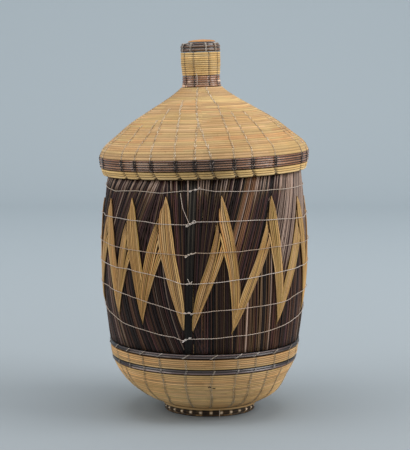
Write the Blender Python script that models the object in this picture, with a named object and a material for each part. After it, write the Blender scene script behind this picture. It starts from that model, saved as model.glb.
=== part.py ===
"""Lidded basket of coiled straw, dressed in dark rods with an interlaced golden zigzag.

A coiled bowl on a small foot ring carries a thin coiled wall. Dark rods stand side by side around
that wall, golden bands cross over and under one another on top of them, and six threads tie it all
in. The conical lid with its knob drops over the neck and rests on the rods' ends, slightly askew.

Metres, +Z up. The origin is where the basket's axis meets the table, and the front faces -Y.
Azimuths are in degrees from the front, positive towards +X.
"""

import math

import bmesh
import bpy
from mathutils import Vector

# Clearances
GAP = 0.0003                 # between pieces that touch
THREAD_GAP = 0.0004          # between a tie thread and what it is drawn over
NECK_CLEARANCE = 0.0009      # all around the neck, inside the lid's rim

# Foot and bowl
FOOT_RADIUS = 0.0283         # outside of the foot coil, where it meets the bowl
FOOT_WIDTH = 0.0052          # across the foot coil
BOWL_LIFT = 0.0021           # underside of the bowl's centre above the table
BOWL_RADIUS = 0.0668
BOWL_HEIGHT = 0.0520         # top of the upper dark ring above the table
BOWL_ROUNDNESS = 2.08        # 2 is an ellipse, more is squarer
BOWL_WALL = 0.0024
DARK_RING_HEIGHT = 0.0036    # each of the two dark rings, two coils high
DARK_RING_RELIEF = 0.0005    # how far their thicker coils stand out
NATURAL_BAND_HEIGHT = 0.0076  # between the two rings
STITCH_PINCH = 0.0004        # how deep the lines of stitches draw the coils in
BOWL_SAG = 0.0075            # how much fuller the bowl's right side is low down, where it has settled
SAG_MARGIN = 0.0072          # bowl below the lower dark ring that stays round
SAG_DEPTH = 0.0220           # from there down to where the sag is full

# Barrel of rods
ROD_LENGTH = 0.1169
ROD_DEPTH = 0.0013
ROD_GROOVE = 0.0005
ROD_COUNT = 96               # each modelled rod stands for a bundle of three
ROD_SLANT = 3.0              # degrees that the rods drift to the right on their way up
BARREL_BULGE = 0.0044
SHOULDER_STEP = 0.0008       # how much wider the rods' ring is at their upper ends than at their feet
WALL = 0.0022                # coiled wall behind the rods
NECK_HEIGHT = 0.0078         # wall above the rods' ends
MOUTH_ROLL = 0.0007          # how far the mouth's coil stands into the opening

# Seam where the rods' mat closes
SEAM_AZIMUTH = -7.9
SEAM_LEAN = 3.2              # degrees that it drifts to the right over the rods' length
SEAM_WIDTH = 0.0048
SEAM_RODS = 4

# Golden zigzag
BAND_WIDTH = 0.0102
BAND_THICKNESS = 0.0006
BAND_BOW = 0.0034            # how far a band's middle bows sideways, away from the seam
BAND_TIP = 0.0009            # width left at a band's pointed ends
BAND_FULLNESS = 0.65         # 1 tapers like a leaf, less stays wide for longer
CROSSING = (0.41, 0.59)      # share of its length in which a band changes from over to under
FRONT_PEAKS = (-65.7, -44.0, -21.7, 9.2, 39.5, 64.7)
FRONT_VALLEYS = (-56.1, -36.4, -8.9, 15.9, 45.0, 70.0)   # the one to the right of each peak
HIDDEN_PEAKS = 8
HIDDEN_VALLEY_SHARE = 0.3    # of the way from a hidden peak to the next
PEAK_MARGIN = 0.0116         # dark rods above the highest peak
PEAK_FALL = 0.0095           # how much lower the peaks are on the far side
VALLEY_MARGIN = 0.0157       # dark rods below the lowest valley
VALLEY_RISE = 0.0160         # how much higher the valleys are on the far side
DROOP_AZIMUTH = 8.0          # where the threads and the zigzag's feet hang lowest

# Tie threads, from the top: place at the back and droop at the front, both as shares of the rods'
# length, and whether they cross golden bands
THREAD_DIAMETER = 0.0009
KNOT_DIAMETER = 0.0017
THREADS = (
    (0.932, 0.005, False),
    (0.761, 0.0, True),
    (0.618, 0.034, True),
    (0.498, 0.081, True),
    (0.370, 0.120, True),
    (0.254, 0.162, False),
)

# Lid, along its own axis
LID_LEAN = 2.0               # degrees towards the left
LID_WALL = 0.0026
LID_OVERHANG = 0.0034        # the rim's lower edge outside the rods' ends
RIM_HEIGHT = 0.0055
RIM_FLARE = 0.0023           # how far the dark band stands outside the rim's lower edge
RIM_LOBES = 30
LOBE_DEPTH = 0.0006
LID_BAND_HEIGHT = 0.0080
LID_BAND_RELIEF = 0.0003
CONE_HEIGHT = 0.0460
KNOB_RADIUS = 0.0139
KNOB_WAIST = 0.0007          # how much slimmer the knob is at its foot
KNOB_WALL = 0.0030
KNOB_BAND_HEIGHT = 0.0077
KNOB_HEIGHT = 0.0163         # natural coils between the knob's dark bands
KNOB_TOP_HEIGHT = 0.0065
KNOB_TOP_ROUND = 0.0030
CAP_HEIGHT = 0.0017
CONE_SHAPE = ((0.0, 1.0), (0.11, 0.96), (0.30, 0.79), (0.48, 0.615), (0.66, 0.39), (0.84, 0.16),
              (0.93, 0.06), (1.0, 0.0))   # share of the height, share of the radius left above the knob's

# Facets around
ROUND = 48
RIM_ROUND = 2 * RIM_LOBES
KNOB_ROUND = 24
FOOT_ROUND = 24
THREAD_ROUND = 40

ROD_FOOT = BOWL_HEIGHT + GAP
SHOULDER_HEIGHT = ROD_FOOT + ROD_LENGTH
SHOULDER_RADIUS = BOWL_RADIUS + SHOULDER_STEP   # outside of the rods' upper ends
LEAN_START = ROD_FOOT + THREADS[0][0] * ROD_LENGTH   # the rods' ends lean with the lid above here
BAND_LAYER = BAND_THICKNESS + GAP


# Small helpers for shapes

def smoothstep(value):
    """Ease from 0 to 1, flat at both ends."""
    value = min(max(value, 0.0), 1.0)
    return value * value * (3.0 - 2.0 * value)


def through_points(points, at):
    """Value at a place along a smooth curve through (place, value) points."""
    last = len(points) - 2
    index = next((i for i in range(last) if at <= points[i + 1][0]), last)
    (x0, y0), (x1, y1) = points[index], points[index + 1]
    before = points[max(index - 1, 0)]
    after = points[min(index + 2, len(points) - 1)]
    slope0 = (y1 - before[1]) / (x1 - before[0])
    slope1 = (after[1] - y0) / (after[0] - x0)
    t = (at - x0) / (x1 - x0)
    width = x1 - x0
    return ((2 * t**3 - 3 * t**2 + 1) * y0 + (t**3 - 2 * t**2 + t) * width * slope0
            + (3 * t**2 - 2 * t**3) * y1 + (t**3 - t**2) * width * slope1)


def spread(low, high, count):
    """Evenly spaced values from low to high, both included."""
    return [low + (high - low) * i / (count - 1) for i in range(count)]


def around(radius, azimuth, height):
    """Point at an azimuth in degrees from the front."""
    angle = math.radians(azimuth)
    return Vector((radius * math.sin(angle), -radius * math.cos(angle), height))


def front_weight(azimuth):
    """1 where the zigzag and the threads hang lowest, falling to 0 on the far side."""
    return ((1.0 + math.cos(math.radians(azimuth - DROOP_AZIMUTH))) / 2.0) ** 2


def lean(point):
    """Tilt the rods' ends, the neck and the mouth so that the lid sits on them askew."""
    share = smoothstep((point.z - LEAN_START) / (SHOULDER_HEIGHT - LEAN_START))
    return Vector((point.x, point.y, point.z + point.x * math.tan(math.radians(LID_LEAN)) * share))


# Profiles

def bowl_point(share, wall=0.0):
    """Point (radius, height) of the bowl's curve, from its centre at 0 to its top at 1."""
    angle = share * math.pi / 2.0
    power = 2.0 / BOWL_ROUNDNESS
    radius = (BOWL_RADIUS - wall) * math.sin(angle) ** power if share > 0.0 else 0.0
    drop = (BOWL_HEIGHT - BOWL_LIFT - wall) * math.cos(angle) ** power if share < 1.0 else 0.0
    return radius, BOWL_HEIGHT - drop


def bowl_radius(height, wall=0.0):
    """Radius of the bowl's curve at a height."""
    share = (BOWL_HEIGHT - height) / (BOWL_HEIGHT - BOWL_LIFT - wall)
    share = min(max(share, 0.0), 1.0)
    return (BOWL_RADIUS - wall) * (1.0 - share**BOWL_ROUNDNESS) ** (1.0 / BOWL_ROUNDNESS)


def bowl_underside(radius):
    """Height of the bowl's outer curve at a radius."""
    share = radius / BOWL_RADIUS
    fall = (1.0 - share**BOWL_ROUNDNESS) ** (1.0 / BOWL_ROUNDNESS)
    return BOWL_HEIGHT - (BOWL_HEIGHT - BOWL_LIFT) * fall


def sag(point):
    """Push the bowl's lower right side and the foot under it outwards."""
    start = BOWL_HEIGHT - 2.0 * DARK_RING_HEIGHT - NATURAL_BAND_HEIGHT - SAG_MARGIN
    share = smoothstep((start - point.z) / SAG_DEPTH)
    side = point.x / max(bowl_radius(point.z), FOOT_RADIUS)
    return Vector((point.x + BOWL_SAG * share * (1.0 + side) / 2.0, point.y, point.z))


def rod_surface(height):
    """Radius of the dark rods' outer surface at a height."""
    share = min(max((height - ROD_FOOT) / ROD_LENGTH, 0.0), 1.0)
    straight = BOWL_RADIUS + (SHOULDER_RADIUS - BOWL_RADIUS) * share
    return straight + BARREL_BULGE * 4.0 * share * (1.0 - share)


def wall_radius(height):
    """Outer radius of the coiled wall, just inside the rods, and of the neck above them."""
    return rod_surface(height) - ROD_DEPTH - GAP


def rod_heights():
    """Heights at which the barrel's rods and wall have a ring of points."""
    return spread(ROD_FOOT, LEAN_START, 4) + [SHOULDER_HEIGHT]


def seam_azimuth(height):
    """Middle of the seam at a height."""
    return SEAM_AZIMUTH + SEAM_LEAN * ((height - ROD_FOOT) / ROD_LENGTH - 0.5)


def seam_half_angle(width):
    """Half of a width at the seam, as an angle."""
    return math.degrees(width / 2.0 / (SHOULDER_RADIUS + BARREL_BULGE))


def lid_edge_radius(height):
    """Outer radius of the rim and the dark band above it, at a height along the lid's axis."""
    top = RIM_HEIGHT + LID_BAND_HEIGHT
    return SHOULDER_RADIUS + LID_OVERHANG + RIM_FLARE * (1.0 - (1.0 - min(height / top, 1.0)) ** 2)


# Mesh building

def finish(name, mesh_builder, material, parent=None, place=None):
    """Turn a bmesh into a named object with its material."""
    if place:
        for vertex in mesh_builder.verts:
            vertex.co = place(vertex.co)
    bmesh.ops.recalc_face_normals(mesh_builder, faces=mesh_builder.faces[:])
    mesh = bpy.data.meshes.new(name)
    mesh_builder.to_mesh(mesh)
    mesh_builder.free()
    mesh.shade_smooth()
    mesh.set_sharp_from_angle(angle=math.radians(32.0))
    mesh.materials.append(material)
    made = bpy.data.objects.new(name, mesh)
    bpy.context.scene.collection.objects.link(made)
    made.parent = parent
    return made


def revolve(profile, steps):
    """Spin a profile of (radius, height) points: a closed ring, or a disc where it meets the axis."""
    builder = bmesh.new()
    corners = [builder.verts.new((0.0, -radius, height)) for radius, height in profile]
    edges = [builder.edges.new(pair) for pair in zip(corners, corners[1:])]
    if profile[0][0] > 0.0:
        edges.append(builder.edges.new((corners[-1], corners[0])))
    bmesh.ops.spin(builder, geom=corners + edges, axis=(0.0, 0.0, 1.0), cent=(0.0, 0.0, 0.0),
                   angle=math.tau, steps=steps, use_merge=True)
    bmesh.ops.remove_doubles(builder, verts=builder.verts[:], dist=1e-6)
    return builder


def loft(sections, closed=False):
    """Skin rings of points: capped at both ends, or joined into a loop."""
    builder = bmesh.new()
    rings = [[builder.verts.new(point) for point in section] for section in sections]
    followers = rings[1:] + (rings[:1] if closed else [])
    for ring, follower in zip(rings, followers):
        for i in range(len(ring)):
            j = (i + 1) % len(ring)
            builder.faces.new((ring[i], ring[j], follower[j], follower[i]))
    if not closed:
        builder.faces.new(rings[0])
        builder.faces.new(rings[-1])
    return builder


def shell(outer, thickness):
    """Close an outer profile with a plainer inner one, a wall away and cut level at both ends."""
    inner = []
    for i, (radius, height) in enumerate(outer):
        if i % 2 and i < len(outer) - 1:
            continue
        before, after = outer[max(i - 1, 0)], outer[min(i + 1, len(outer) - 1)]
        along = Vector((after[0] - before[0], after[1] - before[1])).normalized()
        normal = Vector((along.y, -along.x))
        if i in (0, len(outer) - 1):
            inner.append((radius - thickness / normal.x, height))
        else:
            inner.append((radius - normal.x * thickness, height - normal.y * thickness))
    return outer + inner[::-1]


def pinch(builder, lines, depth, inside):
    """Draw the outside in along evenly spaced lines of stitches."""
    for vertex in builder.verts:
        radius = math.hypot(vertex.co.x, vertex.co.y)
        if radius <= max(inside(vertex.co.z), depth):
            continue
        turn = math.atan2(vertex.co.x, -vertex.co.y) / math.tau * lines
        draw = (1.0 + math.cos(math.tau * turn)) / 2.0
        shrink = 1.0 - depth * draw / radius
        vertex.co.x *= shrink
        vertex.co.y *= shrink


# Materials

def material(name, colour, roughness):
    """Plain straw, rod or thread surface."""
    made = bpy.data.materials.new(name)
    made.use_nodes = True
    surface = made.node_tree.nodes["Principled BSDF"]
    surface.inputs["Base Color"].default_value = (*colour, 1.0)
    surface.inputs["Roughness"].default_value = roughness
    surface.inputs["Metallic"].default_value = 0.0
    made.diffuse_color = (*colour, 1.0)
    return made


# Bowl and foot

def build_foot(straw):
    """Two stacked coils in a ring, flat underneath and cut to the bowl above."""
    inside = FOOT_RADIUS - FOOT_WIDTH
    top_outer = bowl_underside(FOOT_RADIUS) - GAP
    top_inner = bowl_underside(inside) - GAP
    profile = [
        (FOOT_RADIUS - FOOT_WIDTH * 0.20, 0.0),
        (FOOT_RADIUS - FOOT_WIDTH * 0.06, top_outer * 0.25),
        (FOOT_RADIUS - FOOT_WIDTH * 0.12, top_outer * 0.50),
        (FOOT_RADIUS, top_outer * 0.75),
        (FOOT_RADIUS, top_outer),
        (inside, top_inner),
        (inside + FOOT_WIDTH * 0.14, 0.0),
    ]
    finish("foot_ring", revolve(profile, FOOT_ROUND), straw, place=sag)


def build_bowl(straw, dark):
    """Coiled bowl with a natural band between two dark rings."""
    ring_bottom = BOWL_HEIGHT - DARK_RING_HEIGHT
    band_bottom = ring_bottom - NATURAL_BAND_HEIGHT
    bowl_top = band_bottom - DARK_RING_HEIGHT

    cut = bowl_top - GAP / 2.0
    outer = [p for p in map(bowl_point, spread(0.0, 1.0, 11)) if p[1] < cut] + [(bowl_radius(cut), cut)]
    inner = [p for p in (bowl_point(s, BOWL_WALL) for s in spread(0.0, 1.0, 8)) if p[1] < cut]
    inner.append((bowl_radius(cut, BOWL_WALL), cut))
    wall = revolve(outer + inner[::-1], ROUND)
    pinch(wall, ROUND // 2, STITCH_PINCH, lambda z: bowl_radius(z) - BOWL_WALL / 2.0)
    finish("bowl_wall", wall, straw, place=sag)

    def ring_profile(low, high, relief):
        low, high = low + GAP / 2.0, high - GAP / 2.0
        middle = (low + high) / 2.0
        heights = [low, (low + middle) / 2.0, middle, (middle + high) / 2.0, high] if relief else [low, high]
        outside = [(bowl_radius(z) + (relief if i % 2 else 0.0), z) for i, z in enumerate(heights)]
        return outside + [(bowl_radius(z, BOWL_WALL), z) for z in (high, low)]

    lower = ring_profile(bowl_top, band_bottom, DARK_RING_RELIEF)
    finish("lower_dark_ring", revolve(lower, ROUND), dark)
    band = revolve(ring_profile(band_bottom, ring_bottom, 0.0), ROUND)
    pinch(band, ROUND // 2, STITCH_PINCH, lambda z: bowl_radius(z) - BOWL_WALL / 2.0)
    finish("bowl_upper_band", band, straw)
    upper = ring_profile(ring_bottom, BOWL_HEIGHT, DARK_RING_RELIEF)
    finish("upper_dark_ring", revolve(upper, ROUND), dark)


def build_inner_wall(straw):
    """Coiled wall behind the rods, and the neck and mouth that the lid drops over."""
    rim_height = NECK_HEIGHT / 2.0
    neck_top = SHOULDER_HEIGHT + rim_height - GAP
    outside = [(wall_radius(z), z) for z in rod_heights() + [neck_top]]
    inside = [(wall_radius(z) - WALL, z) for z in rod_heights()[:-1] + [neck_top]]
    finish("inner_wall", revolve(outside + inside[::-1], ROUND), straw, place=lean)

    low, high = neck_top + GAP, SHOULDER_HEIGHT + NECK_HEIGHT
    middle = (low + high) / 2.0
    radius = wall_radius(high)
    profile = [(radius, low), (radius, middle), (radius - WALL / 3.0, high),
               (radius - WALL, high), (radius - WALL - MOUTH_ROLL, middle), (radius - WALL, low)]
    finish("mouth_rim", revolve(profile, ROUND), straw, place=lean)


# Rods, seam, zigzag and threads

def build_rods(dark):
    """Mat of rods standing around the wall, open at the seam that closes it."""
    half = seam_half_angle(SEAM_WIDTH + 2.0 * GAP)

    def azimuth(share, height):
        seam = seam_azimuth(height)
        drift = ROD_SLANT * math.sin(share * math.pi) * (height - ROD_FOOT) / ROD_LENGTH
        return seam + half + share * (360.0 - 2.0 * half) + drift

    sections = []
    for height in rod_heights():
        ridge = rod_surface(height)
        outside = [around(ridge - (0.0 if i % 2 else ROD_GROOVE), azimuth(i / (2 * ROD_COUNT), height), height)
                   for i in range(2 * ROD_COUNT + 1)]
        inside = [around(ridge - ROD_DEPTH, azimuth(share, height), height)
                  for share in spread(1.0, 0.0, ROUND)]
        sections.append(outside + inside)
    finish("dark_rods", loft(sections), dark, place=lean)


def build_seam(grey):
    """Bundle of straight rods that covers the joint of the mat."""
    half = seam_half_angle(SEAM_WIDTH)
    sections = []
    for height in rod_heights():
        ridge = rod_surface(height)
        middle = seam_azimuth(height)
        outside = [around(ridge - (0.0 if i % 2 else ROD_GROOVE), middle + half * (i / SEAM_RODS - 1.0), height)
                   for i in range(2 * SEAM_RODS + 1)]
        inside = [around(ridge - ROD_DEPTH, middle + side * half, height) for side in (1.0, 0.0, -1.0)]
        sections.append(outside + inside)
    finish("seam_rods", loft(sections), grey, place=lean)


def zigzag():
    """Every golden band as (peak azimuth, valley azimuth), once to the right and once to the left."""
    peaks = list(FRONT_PEAKS)
    valleys = list(FRONT_VALLEYS)
    step = (FRONT_PEAKS[0] + 360.0 - FRONT_PEAKS[-1]) / (HIDDEN_PEAKS + 1)
    for i in range(HIDDEN_PEAKS):
        peaks.append(FRONT_PEAKS[-1] + step * (i + 1))
        valleys.append(peaks[-1] + step * HIDDEN_VALLEY_SHARE)
    bands = []
    for i, peak in enumerate(peaks):
        left_valley = valleys[i - 1] - (360.0 if i == 0 else 0.0)
        bands.append((peak, valleys[i]))
        bands.append((peak, left_valley))
    return bands


def valley_height(azimuth):
    """Height of the zigzag's foot at an azimuth."""
    return ROD_FOOT + VALLEY_MARGIN + VALLEY_RISE * (1.0 - front_weight(azimuth))


def clear_of_seam(azimuth, side):
    """A valley at the seam is parted: each band's foot stands on its own side of the seam rods."""
    foot = seam_azimuth(valley_height(SEAM_AZIMUTH))
    room = seam_half_angle(SEAM_WIDTH) + math.degrees(BAND_TIP / SHOULDER_RADIUS)
    if abs(azimuth - foot) > room:
        return azimuth
    return foot - side * room


def band_bow(peak):
    """How far the bands of a peak bow to the right, in degrees: away from the seam, none opposite it."""
    turn = (peak - SEAM_AZIMUTH + 180.0) % 360.0 - 180.0
    bow = math.degrees(BAND_BOW / SHOULDER_RADIUS) * math.cos(math.radians(turn / 2.0))
    return math.copysign(bow, turn)


def build_zigzag(golden):
    """Golden bands, over their neighbour at one end and under the other at the other end."""
    for number, (peak, valley) in enumerate(zigzag(), start=1):
        side = 1.0 if valley > peak else -1.0
        foot = clear_of_seam(valley, side)
        top = SHOULDER_HEIGHT - PEAK_MARGIN - PEAK_FALL * (1.0 - front_weight(peak))
        bottom = valley_height(foot)
        sections = []
        for share in spread(0.0, CROSSING[0], 4) + spread(CROSSING[1], 1.0, 4):
            fullness = abs(math.sin(math.pi * share))
            middle = peak + (foot - peak) * share + band_bow(peak) * fullness
            height = top + (bottom - top) * share
            width = max(BAND_TIP, BAND_WIDTH * fullness**BAND_FULLNESS)
            over = 1.0 - smoothstep((share - CROSSING[0]) / (CROSSING[1] - CROSSING[0]))
            level = over if side > 0.0 else 1.0 - over
            inner = rod_surface(height) + GAP + BAND_LAYER * level
            half = math.degrees(width / 2.0 / inner)
            outside = [around(inner + BAND_THICKNESS, middle + half * s, height) for s in (-1.0, 0.0, 1.0)]
            inside = [around(inner, middle + half * s, height) for s in (1.0, 0.0, -1.0)]
            sections.append(outside + inside)
        finish(f"gold_band_{number:02d}", loft(sections), golden)


def build_threads(thread):
    """Threads drawn around the barrel, each knotted at the seam."""
    for number, (place, droop, over_bands) in enumerate(THREADS, start=1):
        lift = BAND_LAYER + BAND_THICKNESS + GAP if over_bands else 0.0
        sections = []
        for turn in range(THREAD_ROUND):
            azimuth = SEAM_AZIMUTH + 360.0 * turn / THREAD_ROUND
            level = ROD_FOOT + ROD_LENGTH * (place - droop * front_weight(azimuth))
            thick = KNOT_DIAMETER if turn == 0 else THREAD_DIAMETER
            centre = rod_surface(level) + lift + THREAD_GAP + thick / 2.0
            sections.append([around(centre + thick / 2.0 * math.cos(corner), azimuth,
                                    level + thick / 2.0 * math.sin(corner))
                             for corner in (0.0, math.tau / 3.0, 2.0 * math.tau / 3.0)])
        finish(f"tie_thread_{number}", loft(sections, closed=True), thread)


# Lid

def build_lid(straw, dark):
    """Coiled lid and knob, on an empty that stands on the rods' ends and leans with them."""
    seat = bpy.data.objects.new("lid_seat", None)
    seat.location = (0.0, 0.0, SHOULDER_HEIGHT)
    seat.rotation_euler = (0.0, -math.radians(LID_LEAN), 0.0)
    bpy.context.scene.collection.objects.link(seat)

    throat = wall_radius(SHOULDER_HEIGHT) + NECK_CLEARANCE
    rim_top, band_top = RIM_HEIGHT, RIM_HEIGHT + LID_BAND_HEIGHT
    cone_top = band_top + CONE_HEIGHT

    low, high = GAP, rim_top - GAP / 2.0
    outside = [(lid_edge_radius(z), z) for z in (low, (low + high) / 2.0, high)]
    profile = outside + [(outside[-1][0] - LID_WALL, high), (throat, (low + high) / 2.0), (throat, low)]
    rim = revolve(profile, RIM_ROUND)
    pinch(rim, RIM_LOBES, LOBE_DEPTH, lambda z: lid_edge_radius(z) - LID_WALL / 3.0)
    finish("lid_rim", rim, straw, seat)

    low, high = rim_top + GAP / 2.0, band_top - GAP / 2.0
    outside = [(lid_edge_radius(z) + LID_BAND_RELIEF, z) for z in (low, (low + high) / 2.0, high)]
    inside = [(lid_edge_radius(z) - LID_WALL, z) for z in (high, low)]
    finish("lid_dark_band", revolve(outside + inside, ROUND), dark, seat)

    low, high = band_top + GAP / 2.0, cone_top - GAP / 2.0
    drop = lid_edge_radius(band_top) - KNOB_RADIUS
    outer = []
    for share in (0.0, 0.11, 0.30, 0.48, 0.66, 0.84, 0.93, 1.0):
        outer.append((KNOB_RADIUS + drop * through_points(CONE_SHAPE, share), low + (high - low) * share))
    cone = revolve(shell(outer, LID_WALL), ROUND)
    finish("lid_cone", cone, straw, seat)

    build_knob(seat, cone_top, straw, dark)


def build_knob(seat, foot, straw, dark):
    """Hollow coiled knob between two dark bands, closed by a domed cap."""
    bore = KNOB_RADIUS - KNOB_WALL
    slim = KNOB_RADIUS - KNOB_WAIST
    sleeve = foot + KNOB_BAND_HEIGHT
    crown = sleeve + KNOB_HEIGHT
    top = crown + KNOB_TOP_HEIGHT

    low, high = foot + GAP / 2.0, sleeve - GAP / 2.0
    profile = [(KNOB_RADIUS, low), (slim, (low + high) / 2.0), (slim, high), (bore, high), (bore, low)]
    finish("knob_base_band", revolve(profile, KNOB_ROUND), dark, seat)

    low, high = sleeve + GAP / 2.0, crown - GAP / 2.0
    profile = [(slim, low), (KNOB_RADIUS, (low + high) / 2.0), (KNOB_RADIUS, high), (bore, high), (bore, low)]
    finish("knob_sleeve", revolve(profile, KNOB_ROUND), straw, seat)

    low, high = crown + GAP / 2.0, top
    edge = KNOB_RADIUS - KNOB_TOP_ROUND
    profile = [(KNOB_RADIUS, low), (KNOB_RADIUS, high - KNOB_TOP_ROUND * 0.6),
               (KNOB_RADIUS - KNOB_TOP_ROUND * 0.35, high - KNOB_TOP_ROUND * 0.2), (edge, high),
               (bore - KNOB_WALL, high), (bore - KNOB_WALL, (low + high) / 2.0), (bore, low)]
    finish("knob_top_band", revolve(profile, KNOB_ROUND), dark, seat)

    low, high = top + GAP, top + GAP + CAP_HEIGHT
    profile = [(0.0, low), (edge, low), (edge, (low + high) / 2.0), (edge * 0.7, high - CAP_HEIGHT * 0.1),
               (0.0, high)]
    finish("knob_cap", revolve(profile, KNOB_ROUND), straw, seat)


def main():
    """Build the basket from its foot to its knob."""
    for leftover in list(bpy.data.objects):
        bpy.data.objects.remove(leftover, do_unlink=True)
    straw = material("natural_straw", (0.52, 0.36, 0.17), 0.62)
    golden = material("golden_rods", (0.55, 0.35, 0.13), 0.55)
    dark = material("dark_rods", (0.060, 0.040, 0.034), 0.55)
    grey = material("grey_rods", (0.075, 0.078, 0.060), 0.60)
    thread = material("tie_thread", (0.42, 0.41, 0.38), 0.85)

    build_foot(straw)
    build_bowl(straw, dark)
    build_inner_wall(straw)
    build_rods(dark)
    build_seam(grey)
    build_zigzag(golden)
    build_threads(thread)
    build_lid(straw, dark)


main()
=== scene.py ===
"""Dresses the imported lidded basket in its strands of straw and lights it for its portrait.

Every coil, rod, stitch and thread is laid strand by strand over the part's solids: ring rows sewn
along lines of stitches for the bowl and the lid, a mat of dark rods with the golden zigzag plaited
over it, and the threads knotted at the seam. Metres, +Z up, the front faces -Y; azimuths are in
degrees from the front, positive towards +X.
"""

import logging
import math
from collections.abc import Callable, Sequence
from dataclasses import dataclass
from enum import Enum

import bpy
import numpy as np
from mathutils import Matrix, Vector


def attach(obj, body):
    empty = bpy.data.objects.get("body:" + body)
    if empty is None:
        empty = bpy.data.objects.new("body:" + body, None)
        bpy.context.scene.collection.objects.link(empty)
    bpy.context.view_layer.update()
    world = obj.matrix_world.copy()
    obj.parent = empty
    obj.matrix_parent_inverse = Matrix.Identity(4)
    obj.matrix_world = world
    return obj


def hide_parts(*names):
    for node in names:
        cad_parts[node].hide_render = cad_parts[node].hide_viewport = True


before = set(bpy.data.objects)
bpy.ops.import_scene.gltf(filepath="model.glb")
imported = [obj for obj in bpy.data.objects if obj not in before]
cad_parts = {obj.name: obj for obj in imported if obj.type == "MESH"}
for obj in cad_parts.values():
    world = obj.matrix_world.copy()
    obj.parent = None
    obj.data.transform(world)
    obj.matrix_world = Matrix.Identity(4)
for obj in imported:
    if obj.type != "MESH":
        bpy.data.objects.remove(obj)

log = logging.getLogger("lidded_basket")

Array = np.ndarray
Screen = tuple[int, int, int]
Placing = Callable[[Array], Array]
Triple = tuple[float, float, float]
Reach = tuple[tuple[float, float], ...]


# Small helpers for numbers

def smoothstep(value: Array | float) -> Array:
    """Ease from 0 to 1, flat at both ends."""
    value = np.clip(value, 0.0, 1.0)
    return value * value * (3.0 - 2.0 * value)


def wrapped(azimuth: Array | float) -> Array:
    """Azimuth brought to -180..180 degrees."""
    return (np.asarray(azimuth) + 180.0) % 360.0 - 180.0


def around(radius: Array | float, azimuth: Array | float, height: Array | float) -> Array:
    """Points, x, y and z, at distances from the axis, azimuths in degrees and heights."""
    radius, azimuth, height = np.broadcast_arrays(radius, np.radians(azimuth), height)
    return np.stack([radius * np.sin(azimuth), -radius * np.cos(azimuth), height], axis=-1)


def ripple(rng: np.random.Generator, azimuth: Array, amplitude: float, waves: Sequence[int]) -> Array:
    """Smooth closed wander around the basket.

    Args:
        rng: Source of the phases.
        azimuth: Degrees at which the wander is wanted.
        amplitude: Size of the whole wander.
        waves: Number of waves around the basket of each part of it.

    Returns:
        One value for each azimuth.
    """
    total = np.zeros_like(azimuth, dtype=float)
    for count in waves:
        total += np.sin(np.radians(azimuth) * count + rng.uniform(0.0, math.tau))
    return amplitude * total / math.sqrt(len(waves))


def paint(colour: Screen) -> tuple[float, ...]:
    """Linear colour, with an alpha of 1, of an 8-bit screen colour."""
    shares = [level / 255.0 for level in colour]
    return *(s / 12.92 if s <= 0.04045 else ((s + 0.055) / 1.055) ** 2.4 for s in shares), 1.0


# Shapes that the strands are laid on

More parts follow.
